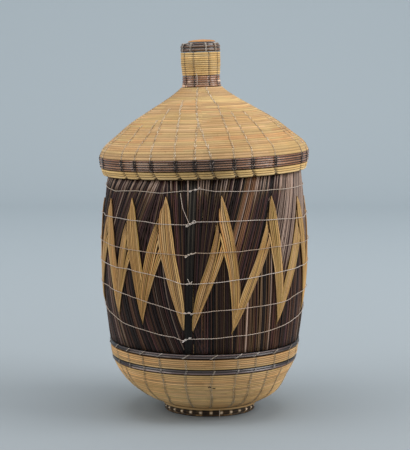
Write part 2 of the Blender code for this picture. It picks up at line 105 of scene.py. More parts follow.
@dataclass(frozen=True)
class BasketForm:
    """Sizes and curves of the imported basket, repeated from the part."""

    gap: float = 0.0003
    bowl_lift: float = 0.0021
    bowl_radius: float = 0.0668
    bowl_height: float = 0.052
    bowl_roundness: float = 2.08
    bowl_wall: float = 0.0024
    bowl_sag: float = 0.0075
    sag_margin: float = 0.0072
    sag_depth: float = 0.022
    foot_radius: float = 0.0283
    dark_ring: float = 0.0036
    natural_band: float = 0.0076
    rod_length: float = 0.1169
    rod_depth: float = 0.0013
    barrel_bulge: float = 0.0044
    shoulder_step: float = 0.0008
    wall: float = 0.0022
    neck_height: float = 0.0078
    seam_azimuth: float = -7.9
    seam_lean: float = 3.2
    seam_width: float = 0.0048
    lid_lean: float = 2.0
    lean_start: float = 0.932
    droop_azimuth: float = 8.0

    @property
    def rod_foot(self) -> float:
        """Height of the rods' lower ends."""
        return self.bowl_height + self.gap

    @property
    def shoulder(self) -> float:
        """Height of the rods' upper ends, on which the lid rests."""
        return self.rod_foot + self.rod_length

    @property
    def shoulder_radius(self) -> float:
        """Outside of the rods' upper ends."""
        return self.bowl_radius + self.shoulder_step

    def rod_surface(self, height: Array | float) -> Array:
        """Radius of the dark rods' outer surface at a height."""
        share = np.clip((height - self.rod_foot) / self.rod_length, 0.0, 1.0)
        return self.bowl_radius + (self.shoulder_step + self.barrel_bulge * 4.0 * (1.0 - share)) * share

    def seam(self, height: Array | float) -> Array:
        """Azimuth of the seam's middle at a height."""
        return self.seam_azimuth + self.seam_lean * ((height - self.rod_foot) / self.rod_length - 0.5)

    def front_weight(self, azimuth: Array | float) -> Array:
        """1 where the zigzag and the threads hang lowest, falling to 0 on the far side."""
        return ((1.0 + np.cos(np.radians(azimuth - self.droop_azimuth))) / 2.0) ** 2

    def lean(self, points: Array) -> Array:
        """Tilts the rods' ends and the neck so that the lid sits on them askew.

        Args:
            points: Points of the basket.

        Returns:
            Where they are once it leans.
        """
        start = self.rod_foot + self.lean_start * self.rod_length
        share = smoothstep((points[..., 2] - start) / (self.shoulder - start))
        leaning = points.copy()
        leaning[..., 2] += points[..., 0] * math.tan(math.radians(self.lid_lean)) * share
        return leaning

    def bowl_outline(self, wall: float, low: float, high: float) -> "Outline":
        """Outline of the bowl between two heights.

        Args:
            wall: How far inside the outer curve.
            low: Lowest height, or 0 for the bowl's centre.
            high: Highest height.

        Returns:
            The outline, from its lower end up.
        """
        power = 2.0 / self.bowl_roundness
        angle = np.linspace(0.004, math.pi / 2.0, 400)
        radius = (self.bowl_radius - wall) * np.sin(angle) ** power
        drop = (self.bowl_height - self.bowl_lift - wall) * np.maximum(np.cos(angle), 0.0) ** power
        height = self.bowl_height - drop
        inside = (height >= low) & (height <= high)
        return Outline(radius[inside], height[inside])

    def sag(self, points: Array) -> Array:
        """Pushes the bowl's lower right side and the foot under it outwards.

        Args:
            points: Points of the even bowl.

        Returns:
            Where they are once it sags.
        """
        start = self.bowl_height - 2.0 * self.dark_ring - self.natural_band - self.sag_margin
        share = smoothstep((start - points[..., 2]) / self.sag_depth)
        drop = np.clip((self.bowl_height - points[..., 2]) / (self.bowl_height - self.bowl_lift), 0.0, 1.0)
        edge = self.bowl_radius * (1.0 - drop**self.bowl_roundness) ** (1.0 / self.bowl_roundness)
        side = points[..., 0] / np.maximum(edge, self.foot_radius)
        moved = points.copy()
        moved[..., 0] += self.bowl_sag * share * (1.0 + side) / 2.0
        return moved

    def bowl_underside(self, radius: float) -> float:
        """Height of the bowl's outer curve at a radius."""
        fall = (1.0 - (radius / self.bowl_radius) ** self.bowl_roundness) ** (1.0 / self.bowl_roundness)
        return self.bowl_height - (self.bowl_height - self.bowl_lift) * fall


@dataclass(frozen=True)
class LidForm:
    """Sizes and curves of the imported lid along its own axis, repeated from the part."""

    basket: BasketForm
    wall: float = 0.0026
    overhang: float = 0.0034
    rim_height: float = 0.0055
    flare: float = 0.0023
    band_height: float = 0.008
    cone_height: float = 0.046
    knob_radius: float = 0.0139
    knob_waist: float = 0.0007
    knob_wall: float = 0.003
    knob_band: float = 0.0077
    knob_natural: float = 0.0163
    knob_top: float = 0.0065
    knob_round: float = 0.003
    cap_height: float = 0.0017
    neck_clearance: float = 0.0009
    cone_shape: tuple[tuple[float, float], ...] = (
        (0.0, 1.0), (0.11, 0.96), (0.3, 0.79), (0.48, 0.615), (0.66, 0.39), (0.84, 0.16),
        (0.93, 0.06), (1.0, 0.0))

    @property
    def band_top(self) -> float:
        """Upper edge of the dark band."""
        return self.rim_height + self.band_height

    @property
    def cone_top(self) -> float:
        """Where the cone ends and the knob starts."""
        return self.band_top + self.cone_height

    def edge_radius(self, height: Array | float) -> Array:
        """Outside of the rim and of the dark band above it."""
        share = np.clip(height / self.band_top, 0.0, 1.0)
        return self.basket.shoulder_radius + self.overhang + self.flare * (1.0 - (1.0 - share) ** 2)

    def cone_outline(self) -> "Outline":
        """Finds the outside of the cone.

        Returns:
            The outline, from the dark band up to the knob.
        """
        share = np.linspace(0.0, 1.0, 300)
        places = np.array([place for place, _ in self.cone_shape])
        values = np.array([value for _, value in self.cone_shape])
        slopes = np.gradient(values, places)
        slopes[0] = (values[1] - values[0]) / (places[1] - places[0])
        index = np.clip(np.searchsorted(places, share, side="right") - 1, 0, len(places) - 2)
        width = places[index + 1] - places[index]
        t = (share - places[index]) / width
        left = ((2 * t**3 - 3 * t**2 + 1) * values[index]
                + (t**3 - 2 * t**2 + t) * width * slopes[index]
                + (3 * t**2 - 2 * t**3) * values[index + 1]
                + (t**3 - t**2) * width * slopes[index + 1])
        drop = float(self.edge_radius(self.band_top)) - self.knob_radius
        return Outline(self.knob_radius + drop * left, self.band_top + self.cone_height * share)

    def place(self, points: Array) -> Array:
        """Moves points from the lid's own axes to where it sits, askew on the rods' ends."""
        turn = np.array(Matrix.Rotation(-math.radians(self.basket.lid_lean), 3, "Y"))
        return points @ turn.T + np.array([0.0, 0.0, self.basket.shoulder])


class Outline:
    """Half of a section through a turned wall, followed by its length from its lower end."""

    def __init__(self, radius: Array, height: Array) -> None:
        """Measures the outline.

        Args:
            radius: Radius of each point.
            height: Height of each point.
        """
        self.radius = radius
        self.height = height
        steps = np.hypot(np.diff(radius), np.diff(height))
        self.arc = np.concatenate([[0.0], np.cumsum(steps)])
        slope_r, slope_z = np.gradient(radius, self.arc), np.gradient(height, self.arc)
        size = np.hypot(slope_r, slope_z)
        self.normal_r, self.normal_z = slope_z / size, -slope_r / size

    @property
    def length(self) -> float:
        """Length along the outline."""
        return float(self.arc[-1])

    def at(self, arc: Array) -> tuple[Array, Array, Array, Array]:
        """Radius, height and outward direction, radial and vertical, at lengths along the outline."""
        return tuple(np.interp(arc, self.arc, values)
                     for values in (self.radius, self.height, self.normal_r, self.normal_z))

    def inset(self, depth: float) -> "Outline":
        """The outline of the wall's other face, a depth further in."""
        return Outline(self.radius - self.normal_r * depth, self.height - self.normal_z * depth)


# Meshes of strands

class StrandMesh:
    """Gathers strands and coiled walls into one mesh, and draws their small differences.

    Each point carries what the finishes read: tone (dark to light, painted light and shade included),
    hue (which colour of straw), groove (painted shade, 1 between two strands) and strand (metres
    along it, across it, and its own number).
    """

    def __init__(self, source: int | np.random.Generator = 0) -> None:
        """Starts with no strands.

        Args:
            source: Seed of their differences, or another mesh's rng where they follow that mesh's.
        """
        labels = ("points", "tone", "hue", "groove", "strand", "corners", "sizes")
        self.rng = np.random.default_rng(source)
        self._stores: dict[str, list[Array]] = {label: [] for label in labels}
        self._count = 0

    def add_grids(self, points: Array, tone: Array, hue: Array, groove: Array, strand: Array,
                  closed: bool) -> None:
        """Adds tubes of the same make, each a grid of rings of points.

        Args:
            points: Tube, ring, point in the ring and x, y, z.
            tone: Tone of each point, or one that fits them all.
            hue: Hue of each point.
            groove: Groove of each point.
            strand: Place along, across and number of each point.
            closed: Whether the last ring joins the first, else both ends get a cap.
        """
        tubes, rings, sides, _ = points.shape
        centred = points - points.mean(axis=(1, 2), keepdims=True)
        following = centred if closed else centred[:, :-1]
        ahead = np.roll(centred, -1, axis=1) if closed else centred[:, 1:]
        beside = np.roll(following, -1, axis=2)
        volume = np.einsum("trsi,trsi->t", following, np.cross(beside, ahead))
        flip = (volume < 0.0)[:, None, None, None]
        shape = (tubes, rings, sides)
        given = {"points": points, "strand": np.broadcast_to(strand, shape + (3,))}
        for label, values in (("tone", tone), ("hue", hue), ("groove", groove)):
            given[label] = np.broadcast_to(values, shape)[..., None]
        for label, values in given.items():
            values = np.where(flip, values[:, :, ::-1], values)
            self._stores[label].append(values.reshape(-1, values.shape[-1]))

        index = np.arange(tubes * rings * sides).reshape(shape) + self._count
        ring = index if closed else index[:, :-1]
        upper = np.roll(index, -1, axis=1) if closed else index[:, 1:]
        quads = np.stack([ring, np.roll(ring, -1, axis=2), np.roll(upper, -1, axis=2), upper], axis=-1)
        self._add_faces(quads, 4)
        if not closed:
            self._add_faces(index[:, 0, ::-1], sides)
            self._add_faces(index[:, -1, :], sides)
        self._count += index.size

    def _add_faces(self, corners: Array, sides: int) -> None:
        """Adds faces that all have the same number of sides."""
        self._stores["corners"].append(corners.reshape(-1))
        self._stores["sizes"].append(np.full(corners.size // sides, sides))

    def add_tubes(self, paths: Array, outward: Array, width: Array | float, depth: Array | float,
                  tone: Array | float = 0.5, hue: Array | float = 0.5, sides: int = 6,
                  closed: bool = False, first: int = 0) -> None:
        """Adds strands that follow paths over a surface.

        Args:
            paths: Strand, point along it and x, y, z.
            outward: Direction away from the surface at each point.
            width: Half of the strand's width along the surface.
            depth: Half of its depth away from the surface.
            tone: Tone of each strand or of each of its points.
            hue: Hue of each strand or of each of its points.
            sides: Number of points around the strand.
            closed: Whether each strand joins its own start.
            first: Number of the first strand, which sets its grain.
        """
        strands, steps, _ = paths.shape
        if closed:
            along = np.roll(paths, -1, axis=1) - np.roll(paths, 1, axis=1)
        else:
            along = np.gradient(paths, axis=1)
        along = along / np.linalg.norm(along, axis=-1, keepdims=True)
        side = np.cross(along, outward)
        side /= np.linalg.norm(side, axis=-1, keepdims=True)
        out = np.cross(side, along)
        turn = np.arange(sides) * math.tau / sides + math.pi / sides
        width, depth = (np.broadcast_to(size, (strands, steps))[..., None, None] for size in (width, depth))
        points = (paths[:, :, None] + side[:, :, None] * width * np.cos(turn)[None, None, :, None]
                  + out[:, :, None] * depth * np.sin(turn)[None, None, :, None])
        strand = np.zeros((strands, steps, sides, 3))
        strand[:, 1:, :, 0] = np.cumsum(np.linalg.norm(np.diff(paths, axis=1), axis=-1), axis=1)[..., None]
        strand[..., 1] = np.cos(turn) * 0.5
        strand[..., 2] = (np.arange(strands) + first)[:, None, None]
        tone, hue = (np.reshape(level, (strands, -1, 1)) if np.ndim(level) else level
                     for level in (tone, hue))
        # Painted shade: the groove value darkens each strand's sides, where it meets its neighbours.
        self.add_grids(points, tone, hue, np.abs(np.cos(turn)) ** 3, strand, closed)

    def build(self, name: str) -> bpy.types.Object:
        """Makes the object.

        Args:
            name: Name of the piece.

        Returns:
            The new object, linked to the scene.
        """
        stores = {label: np.concatenate(values) for label, values in self._stores.items()}
        sizes = stores["sizes"]
        mesh = bpy.data.meshes.new(name)
        mesh.vertices.add(self._count)
        mesh.vertices.foreach_set("co", stores["points"].astype(np.float32).reshape(-1))
        mesh.loops.add(len(stores["corners"]))
        mesh.loops.foreach_set("vertex_index", stores["corners"].astype(np.int32))
        mesh.polygons.add(len(sizes))
        mesh.polygons.foreach_set("loop_start", (np.cumsum(sizes) - sizes).astype(np.int32))
        mesh.update(calc_edges=True)
        mesh.polygons.foreach_set("use_smooth", np.ones(len(sizes), dtype=bool))
        for label in ("tone", "hue", "groove", "strand"):
            kind, key = ("FLOAT_VECTOR", "vector") if label == "strand" else ("FLOAT", "value")
            layer = mesh.attributes.new(label, kind, "POINT")
            layer.data.foreach_set(key, stores[label].astype(np.float32).reshape(-1))
        made = bpy.data.objects.new(name, mesh)
        bpy.context.scene.collection.objects.link(made)
        return made


@dataclass(frozen=True)
class Stroke:
    """One stitch over a row: how far it lies to each side of its line, its slant and its size.

    Where it lies to no side, the line has one stitch over a row, without a slant.
    """

    spacing: float = 0.0008
    slant: float = 0.0007
    width: float = 0.00024
    rise: float = 0.0002
    sink: float = 0.0004
    jitter: float = 0.0001
    tone: tuple[float, float] = (0.3, 0.8)
    sides: tuple[float, ...] = (-1.0, 1.0)


class RowShape(Enum):
    """Section of one row of coils: places across it, and how far each is sunk in the groove."""

    SPLIT = ((0.0, 1.0), (0.26, 0.0), (0.74, 0.0))
    ROUND = ((0.0, 1.0), (0.13, 0.5), (0.32, 0.1), (0.5, 0.0), (0.68, 0.1), (0.87, 0.5))
    CORD = ((0.0, 1.0), (0.17, 0.8), (0.33, 0.25), (0.5, 0.0), (0.67, 0.25), (0.83, 0.8))


@dataclass
class CoiledWall:
    """A turned wall whose two faces are rows of coils, drawn in along its lines of stitches.

    A line says its azimuth at shares of the outline, up to the share at which it ends.
    """

    outer: Outline
    inner: Outline
    pitch: float
    relief: float
    lines: Sequence[Reach] = ()
    pinch: float = 0.0004
    pinch_width: float = 0.0014
    inner_pitch: float = 0.002
    inner_relief: float = 0.0004
    wander: float = 0.0
    hem: float = 0.0
    line_fade: float = 0.003
    steps: int = 240
    shape: RowShape = RowShape.SPLIT
    row_shift: float = 0.13
    row_proud: float = 0.2
    # Painted shade: seam_shade darkens the grooves between rows; spot and draw_shade darken the coils along
    # the lines of stitches.
    seam_shade: float = 0.75
    spot: float = 0.1
    tone: tuple[float, float] = (0.35, 0.75)
    # Painted shade: tone added to each row in turn, darkening single coils for how the light falls on them.
    painted_row_shade: tuple[float, ...] = (0.0,)
    pieces: int = 5
    uneven: float = 0.0
    draw_shade: float = 1.0
    # Painted light and shade: tone added at each azimuth, for how the lamps light each side.
    painted_light: Reach = ((0.0, 0.0),)
    stitch_reach: float = 0.12
    stitch_steps: int = 5
    place: Placing | None = None

    def __post_init__(self) -> None:
        """Sets where each row of the outer face starts and ends, and the azimuth of each step."""
        self.edges = self._row_edges(self.outer, self.pitch)
        self.azimuths = np.arange(self.steps) * 360.0 / self.steps

    @staticmethod
    def _row_edges(outline: Outline, pitch: float) -> Array:
        """Where the rows of a face start and end."""
        return np.linspace(0.0, outline.length, max(1, round(outline.length / pitch)) + 1)

    def _drawn(self, arc: Array, length: float, radius: Array) -> Array:
        """How far the lines of stitches draw the coils in.

        Args:
            arc: Lengths along the outline.
            length: The outline's whole length.
            radius: Radius at each of them.

        Returns:
            0 to 1 for each length and step around.
        """
        drawn = np.zeros((len(arc), self.steps))
        for line in self.lines:
            course = np.interp(arc / length, *zip(*line))
            away = np.radians(wrapped(self.azimuths[None] - course[:, None])) * radius
            reach = smoothstep((line[-1][0] * length + self.line_fade - arc[:, None]) / self.line_fade)
            drawn = np.maximum(drawn, np.exp(-((away / self.pinch_width) ** 2)) * reach)
        return drawn

    def _face(self, outline: Outline, edges: Array, relief: float, side: float, shape: RowShape,
              rng: np.random.Generator) -> tuple[Array, ...]:
        """Rings of points over the rows of one face.

        Args:
            outline: Section of the face.
            edges: Where its rows start and end.
            relief: Depth of the grooves between the rows.
            side: 1 for the outside and -1 for the inside.
            shape: Section of a row.
            rng: Source of the rows' small differences.

        Returns:
            Radius, height, tone, hue, groove and number of the row at each point.
        """
        rows = len(edges) - 1
        share, sunk = (np.array(values) for values in zip(*shape.value))
        moved = edges.copy()
        if rows > 1:
            moved[1:-1] += rng.uniform(-self.row_shift, self.row_shift, rows - 1) * np.diff(edges)[1:]
        arc = np.append((moved[:-1, None] + np.diff(moved)[:, None] * share).reshape(-1), moved[-1])
        groove = np.append(np.tile(sunk, rows), 1.0)[:, None]
        row = np.append(np.repeat(np.arange(rows), len(share)), rows - 1)
        radius, height, normal_r, normal_z = (values[:, None] for values in outline.at(arc))
        drawn = self._drawn(arc, outline.length, radius)
        proud = rng.uniform(-self.row_proud, self.row_proud, rows)[row][:, None] * relief * (1.0 - groove)
        outward = side * (proud - relief * groove) - side * self.pinch * drawn * (side > 0.0)
        sway = (ripple(rng, self.azimuths, self.wander, (2, 3, 5))
                + ripple(rng, self.azimuths, self.wander / 2.0, (7, 11)))
        up = arc[:, None] / outline.length
        along = sway[None] * np.sin(math.pi * np.clip(up, 0.0, 1.0))
        if side > 0.0:
            along = along + self.hem * drawn * smoothstep(1.0 - up)
        radius = radius + normal_r * outward - normal_z * along
        height = height + normal_z * outward + normal_r * along

        borders = np.sort(rng.uniform(0.0, 360.0, (rows, self.pieces)), axis=1)
        chosen = np.array([np.searchsorted(border, self.azimuths) % self.pieces for border in borders])
        tones = (rng.uniform(*self.tone, (rows, 1)) * 0.6 + rng.uniform(*self.tone, (rows, self.pieces)) * 0.4
                 + np.resize(self.painted_row_shade, rows)[:, None])
        hues = rng.uniform(0.0, 1.0, (rows, self.pieces))
        seams = self.seam_shade * (1.0 - self.uneven * rng.uniform(0.0, 1.0, rows))[row][:, None]
        tones, hues = (np.take_along_axis(values, chosen, axis=1) for values in (tones, hues))
        tone = np.where(groove > 0.5, (tones[row] + tones[np.maximum(row - 1, 0)]) / 2.0, tones[row])
        # Painted light and shade: the tone is raised or lowered by azimuth, for how the lamps light each
        # side.
        tone = np.clip(tone + np.interp(wrapped(self.azimuths), *zip(*self.painted_light)), 0.0, 1.0)
        # Painted shade: the groove value darkens the grooves between rows and the coils along the lines of
        # stitches.
        depth = np.clip(groove * (seams + self.draw_shade * drawn) + self.spot * drawn, 0.0, 1.0)
        return radius, height, tone, hues[row], depth, np.broadcast_to(row[:, None], tone.shape)

    def add_to(self, mesh: StrandMesh) -> None:
        """Adds the wall to a mesh.

        Args:
            mesh: Mesh that takes it.
        """
        outside = self._face(self.outer, self.edges, self.relief, 1.0, self.shape, mesh.rng)
        edges = self._row_edges(self.inner, self.inner_pitch)
        inside = self._face(self.inner, edges, self.inner_relief, -1.0, RowShape.SPLIT, mesh.rng)
        radius, height, tone, hue, groove, row = (
            np.concatenate([near, far[::-1]]) for near, far in zip(outside, inside))
        points = around(radius, self.azimuths[None], height)
        if self.place:
            points = self.place(points)
        strand = np.stack([np.radians(self.azimuths)[None] * radius, groove * 0.5, row], axis=-1)
        mesh.add_grids(points[None], tone[None], hue[None], groove[None], strand[None], closed=True)

    def stitches(self, mesh: StrandMesh, stroke: Stroke) -> None:
        """Adds the sewing strands of every line of stitches, one or two over each row.

        Args:
            mesh: Mesh that takes them.
            stroke: Size and slant of a stitch.
        """
        rng = mesh.rng
        middles = (self.edges[:-1] + self.edges[1:]) / 2.0
        share = np.linspace(-self.stitch_reach, 1.0 + self.stitch_reach, self.stitch_steps)[None]
        rise = stroke.rise * np.sin(math.pi * np.clip(share, 0.0, 1.0))
        out = rise - stroke.sink * (np.abs(share - 0.5) > 0.5) - self.pinch * 0.8
        for line in self.lines:
            rows = np.nonzero(middles <= line[-1][0] * self.outer.length)[0]
            for side in stroke.sides if len(rows) else ():
                arc = self.edges[rows][:, None] + np.diff(self.edges)[rows][:, None] * share
                radius, height, normal_r, normal_z = self.outer.at(arc)
                lateral = side * (stroke.spacing + stroke.slant * (share - 0.5))
                lateral = lateral + rng.normal(0.0, stroke.jitter, (len(rows), 1))
                azimuth = np.interp(arc / self.outer.length, *zip(*line))
                azimuth = azimuth + np.degrees(lateral / radius)
                paths = around(radius + normal_r * out, azimuth, height + normal_z * out)
                outward = around(normal_r, azimuth, normal_z)
                if self.place:
                    outward = self.place(paths + outward * 0.001) - self.place(paths)
                    paths = self.place(paths)
                tone, hue = rng.uniform(*stroke.tone, len(rows)), rng.uniform(0.0, 1.0, len(rows))
                mesh.add_tubes(paths, outward, stroke.width, stroke.width * 0.7, tone, hue, sides=5,
                               first=len(rows))


# Shader node groups

class Nodes:
    """Short way to add and join nodes in one tree."""

    def __init__(self, tree: bpy.types.NodeTree) -> None:
        """Works on the tree of a material or of a group."""
        self.tree = tree

    def feed(self, socket: bpy.types.NodeSocket, value: object) -> None:
        """Joins an output to an input socket, or sets the input's own value.

        Args:
            socket: The input.
            value: The output to join, or the value to set.
        """
        if isinstance(value, bpy.types.NodeSocket):
            self.tree.links.new(value, socket)
        else:
            socket.default_value = value

    def add(self, kind: str, links: dict[str | int, object] | None = None,
            **settings: object) -> bpy.types.Node:
        """Adds a node.

        Args:
            kind: The node type's name.
            links: What goes into each input.
            settings: Properties of the node.

        Returns:
            The new node.
        """
        node = self.tree.nodes.new(kind)
        for label, value in settings.items():
            setattr(node, label, value)
        for label, value in (links or {}).items():
            self.feed(node.inputs[label], value)
        return node

    def math(self, operation: str, *values: object) -> bpy.types.NodeSocket:
        """Adds a maths node on sockets or numbers and gives its result."""
        return self.add("ShaderNodeMath", dict(enumerate(values)), operation=operation).outputs[0]

    def mix(self, factor: object, one: object, other: object, blend: str = "MIX") -> bpy.types.NodeSocket:
        """Adds a colour mix and gives its result."""
        return self.add("ShaderNodeMix", {0: factor, 6: one, 7: other}, data_type="RGBA", blend_type=blend,
                        clamp_factor=True).outputs[2]

    def grey(self, level: object) -> bpy.types.NodeSocket:
        """Turns a value into a grey."""
        return self.add("ShaderNodeCombineColor", {0: level, 1: level, 2: level}).outputs[0]

    def noise(self, place: object, scale: float, detail: float,
              roughness: float = 0.5) -> bpy.types.NodeSocket:
        """Adds a noise texture and gives its value."""
        links = {"Vector": place, "Scale": scale, "Detail": detail, "Roughness": roughness}
        return self.add("ShaderNodeTexNoise", links).outputs[0]

    def ranged(self, value: object, given: tuple[object, object], wanted: tuple[object, object] = (0.0, 1.0),
               way: str = "LINEAR") -> bpy.types.NodeSocket:
        """Maps a value from one range to another.

        Args:
            value: The value.
            given: Range that it comes in.
            wanted: Range that it is mapped to.
            way: How it goes from one end to the other.

        Returns:
            The mapped value.
        """
        links = dict(zip(("Value", "From Min", "From Max", "To Min", "To Max"), (value, *given, *wanted)))
        return self.add("ShaderNodeMapRange", links, interpolation_type=way).outputs[0]

    def finish(self, looks: dict[str, object]) -> None:
        """Gives the material's surface its colour and its other looks."""
        for label, value in looks.items():
            self.feed(self.tree.nodes["Principled BSDF"].inputs[label], value)

    def attribute(self, name: str, output: str = "Fac") -> bpy.types.NodeSocket:
        """Reads one of the strands' attributes."""
        return self.add("ShaderNodeAttribute", attribute_name=name).outputs[output]

    def effect(self, effect: "Effect", **links: object) -> bpy.types.Node:
        """Adds an effect's node group, which is made the first time that it is asked for."""
        tree = bpy.data.node_groups.get(effect.value) or GROUP_MAKERS[effect]()
        return self.add("ShaderNodeGroup", links, node_tree=tree)


class Effect(Enum):
    """The surface effects that more than one finish uses."""

    STRAND_TONE = "strand_tone"
    FIBRE_GRAIN = "fibre_grain"
    GROOVE_DUST = "groove_dust"
    AGE_PATCHES = "age_patches"


MIDDLE_GREY = (0.5, 0.5, 0.5, 1.0)
SOCKETS = {1: "NodeSocketFloat", 3: "NodeSocketVector", 4: "NodeSocketColor"}
GRAIN_RANGE = (0.3, 0.7)
BUMP_DEPTH = 0.0002


def group_tree(effect: Effect, inputs: dict[str, object],
               outputs: dict[str, int]) -> tuple[Nodes, bpy.types.NodeOutputs, bpy.types.NodeInputs]:
    """Starts a node group.

    Args:
        effect: Effect that the group makes.
        inputs: Name and default value of each input.
        outputs: Name of each output and how many values it has.

    Returns:
        The group's nodes, what its input node puts out and what its output node takes.
    """
    tree = bpy.data.node_groups.new(effect.value, "ShaderNodeTree")
    for label, value in inputs.items():
        kind = SOCKETS[np.size(value)]
        tree.interface.new_socket(label, in_out="INPUT", socket_type=kind).default_value = value
    for label, size in outputs.items():
        tree.interface.new_socket(label, in_out="OUTPUT", socket_type=SOCKETS[size])
    nodes = Nodes(tree)
    return nodes, nodes.add("NodeGroupInput").outputs, nodes.add("NodeGroupOutput").inputs


def strand_tone_group() -> bpy.types.NodeTree:
    """Darkens or lightens the colour of each strand by its tone, which holds its own differences and the
    painted light and shade.

    Returns:
        The group.
    """
    nodes, given, result = group_tree(
        Effect.STRAND_TONE, {"Colour": MIDDLE_GREY, "Tone": 0.5, "Dark": 0.7, "Light": 1.25}, {"Colour": 4})
    level = nodes.ranged(given["Tone"], (0.0, 1.0), (given["Dark"], given["Light"]))
    nodes.feed(result["Colour"], nodes.mix(1.0, given["Colour"], nodes.grey(level), "MULTIPLY"))
    return nodes.tree


def fibre_grain_group() -> bpy.types.NodeTree:
    """Fine fibres that run along each strand, as a value around 0.5.

    Returns:
        The group.
    """
    nodes, given, result = group_tree(
        Effect.FIBRE_GRAIN,
        {"Strand": (0.0, 0.0, 0.0), "Along": 90.0, "Across": 5.0}, {"Grain": 1, "Blotch": 1})
    parts = nodes.add("ShaderNodeSeparateXYZ", {0: given["Strand"]}).outputs
    along = nodes.math("MULTIPLY", parts[0], given["Along"])
    across = nodes.math("MULTIPLY", parts[1], given["Across"])
    own = nodes.math("MULTIPLY", parts[2], 7.31)
    fine = nodes.add("ShaderNodeCombineXYZ", {0: along, 1: across, 2: own}).outputs[0]
    nodes.feed(result["Grain"], nodes.noise(fine, 1.0, 4.0, 0.65))
    slow = nodes.add("ShaderNodeCombineXYZ", {0: nodes.math("MULTIPLY", along, 0.22), 1: own}).outputs[0]
    nodes.feed(result["Blotch"], nodes.noise(slow, 1.0, 2.0))
    return nodes.tree


def groove_shade_and_dust_group() -> bpy.types.NodeTree:
    """Lays painted shade, with some dust, into the grooves between the strands.

    Returns:
        The group.
    """
    nodes, given, result = group_tree(
        Effect.GROOVE_DUST,
        {"Colour": MIDDLE_GREY, "Groove": 0.0, "Shade": (0.1, 0.06, 0.03, 1.0), "Amount": 0.7}, {"Colour": 4})
    factor = nodes.math("MULTIPLY", nodes.ranged(given["Groove"], (0.05, 1.0)), given["Amount"])
    nodes.feed(result["Colour"], nodes.mix(factor, given["Colour"], given["Shade"]))
    return nodes.tree


def age_patches_group() -> bpy.types.NodeTree:
    """Broad patches where age and hands have toned the straw, and small dark flecks.

    Returns:
        The group.
    """
    nodes, given, result = group_tree(
        Effect.AGE_PATCHES,
        {"Colour": MIDDLE_GREY, "Stain": (0.8, 0.7, 0.5, 1.0), "Amount": 0.4, "Flecks": 0.3}, {"Colour": 4})
    spot = nodes.add("ShaderNodeTexCoord").outputs["Object"]
    patch = nodes.ranged(nodes.noise(spot, 34.0, 3.0, 0.55), (0.42, 0.68), way="SMOOTHSTEP")
    stained = nodes.mix(nodes.math("MULTIPLY", patch, given["Amount"]), given["Colour"],
                        nodes.mix(1.0, given["Colour"], given["Stain"], "MULTIPLY"))
    dot = nodes.ranged(nodes.noise(spot, 420.0, 1.0), (0.7, 0.78))
    darker = nodes.mix(1.0, stained, (0.35, 0.28, 0.22, 1.0), "MULTIPLY")
    nodes.feed(result["Colour"], nodes.mix(nodes.math("MULTIPLY", dot, given["Flecks"]), stained, darker))
    return nodes.tree


GROUP_MAKERS: dict[Effect, Callable[[], bpy.types.NodeTree]] = {
    Effect.STRAND_TONE: strand_tone_group,
    Effect.FIBRE_GRAIN: fibre_grain_group,
    Effect.GROOVE_DUST: groove_shade_and_dust_group,
    Effect.AGE_PATCHES: age_patches_group,
}


# Finishes

@dataclass(frozen=True)
class StrandFinish:
    """Colours, gloss and grain of one kind of strand."""

    name: str
    slot: str
    colours: tuple[Screen, ...]
    dark: float = 0.72
    light: float = 1.22
    # Colour and amount of the painted shade in the grooves.
    shade: Screen = (92, 64, 38)
    shade_amount: float = 0.6
    stain: Triple = (0.86, 0.76, 0.6)
    stain_amount: float = 0.5
    flecks: float = 0.3
    grain: float = 0.28
    along: float = 90.0
    across: float = 5.0
    roughness: tuple[float, float] = (0.5, 0.68)
    specular: float = 0.35
    bump: float = 0.25

    def material(self) -> bpy.types.Material:
        """Gives the finish's material, which is built the first time that it is asked for.

        Returns:
            The material.
        """
        made = bpy.data.materials.get(self.name)
        if made:
            return made
        made = bpy.data.materials.new(self.name)
        made.use_nodes = True
        made.diffuse_color = paint(self.colours[len(self.colours) // 2])
        nodes = Nodes(made.node_tree)
        ramp = nodes.add("ShaderNodeValToRGB", {0: nodes.attribute("hue")})
        stops = ramp.color_ramp.elements
        while len(stops) < len(self.colours):
            stops.new(0.5)
        for index, colour in enumerate(self.colours):
            stops[index].position = index / (len(self.colours) - 1)
            stops[index].color = paint(colour)

        toned = nodes.effect(Effect.STRAND_TONE, Colour=ramp.outputs[0], Tone=nodes.attribute("tone"),
                             Dark=self.dark, Light=self.light).outputs[0]
        strand = nodes.attribute("strand", "Vector")
        grain = nodes.effect(Effect.FIBRE_GRAIN, Strand=strand, Along=self.along, Across=self.across).outputs
        span = (1.0 - self.grain, 1.0 + self.grain)
        fibre = nodes.math("MULTIPLY", nodes.ranged(grain["Grain"], GRAIN_RANGE, span),
                           nodes.ranged(grain["Blotch"], GRAIN_RANGE, span))
        aged = nodes.effect(Effect.AGE_PATCHES, Colour=nodes.mix(1.0, toned, nodes.grey(fibre), "MULTIPLY"),
                            Stain=(*self.stain, 1.0), Amount=self.stain_amount, Flecks=self.flecks).outputs[0]
        # Painted shade, with some dust, laid into the grooves by the groove value.
        groove_shaded = nodes.effect(Effect.GROOVE_DUST, Colour=aged, Groove=nodes.attribute("groove"),
                             Shade=paint(self.shade), Amount=self.shade_amount).outputs[0]
        relief = {"Height": grain["Grain"], "Strength": self.bump, "Distance": BUMP_DEPTH}
        nodes.finish({"Base Color": groove_shaded, "Specular IOR Level": self.specular,
                      "Roughness": nodes.ranged(grain["Grain"], GRAIN_RANGE, self.roughness),
                      "Normal": nodes.add("ShaderNodeBump", relief).outputs[0]})
        return made


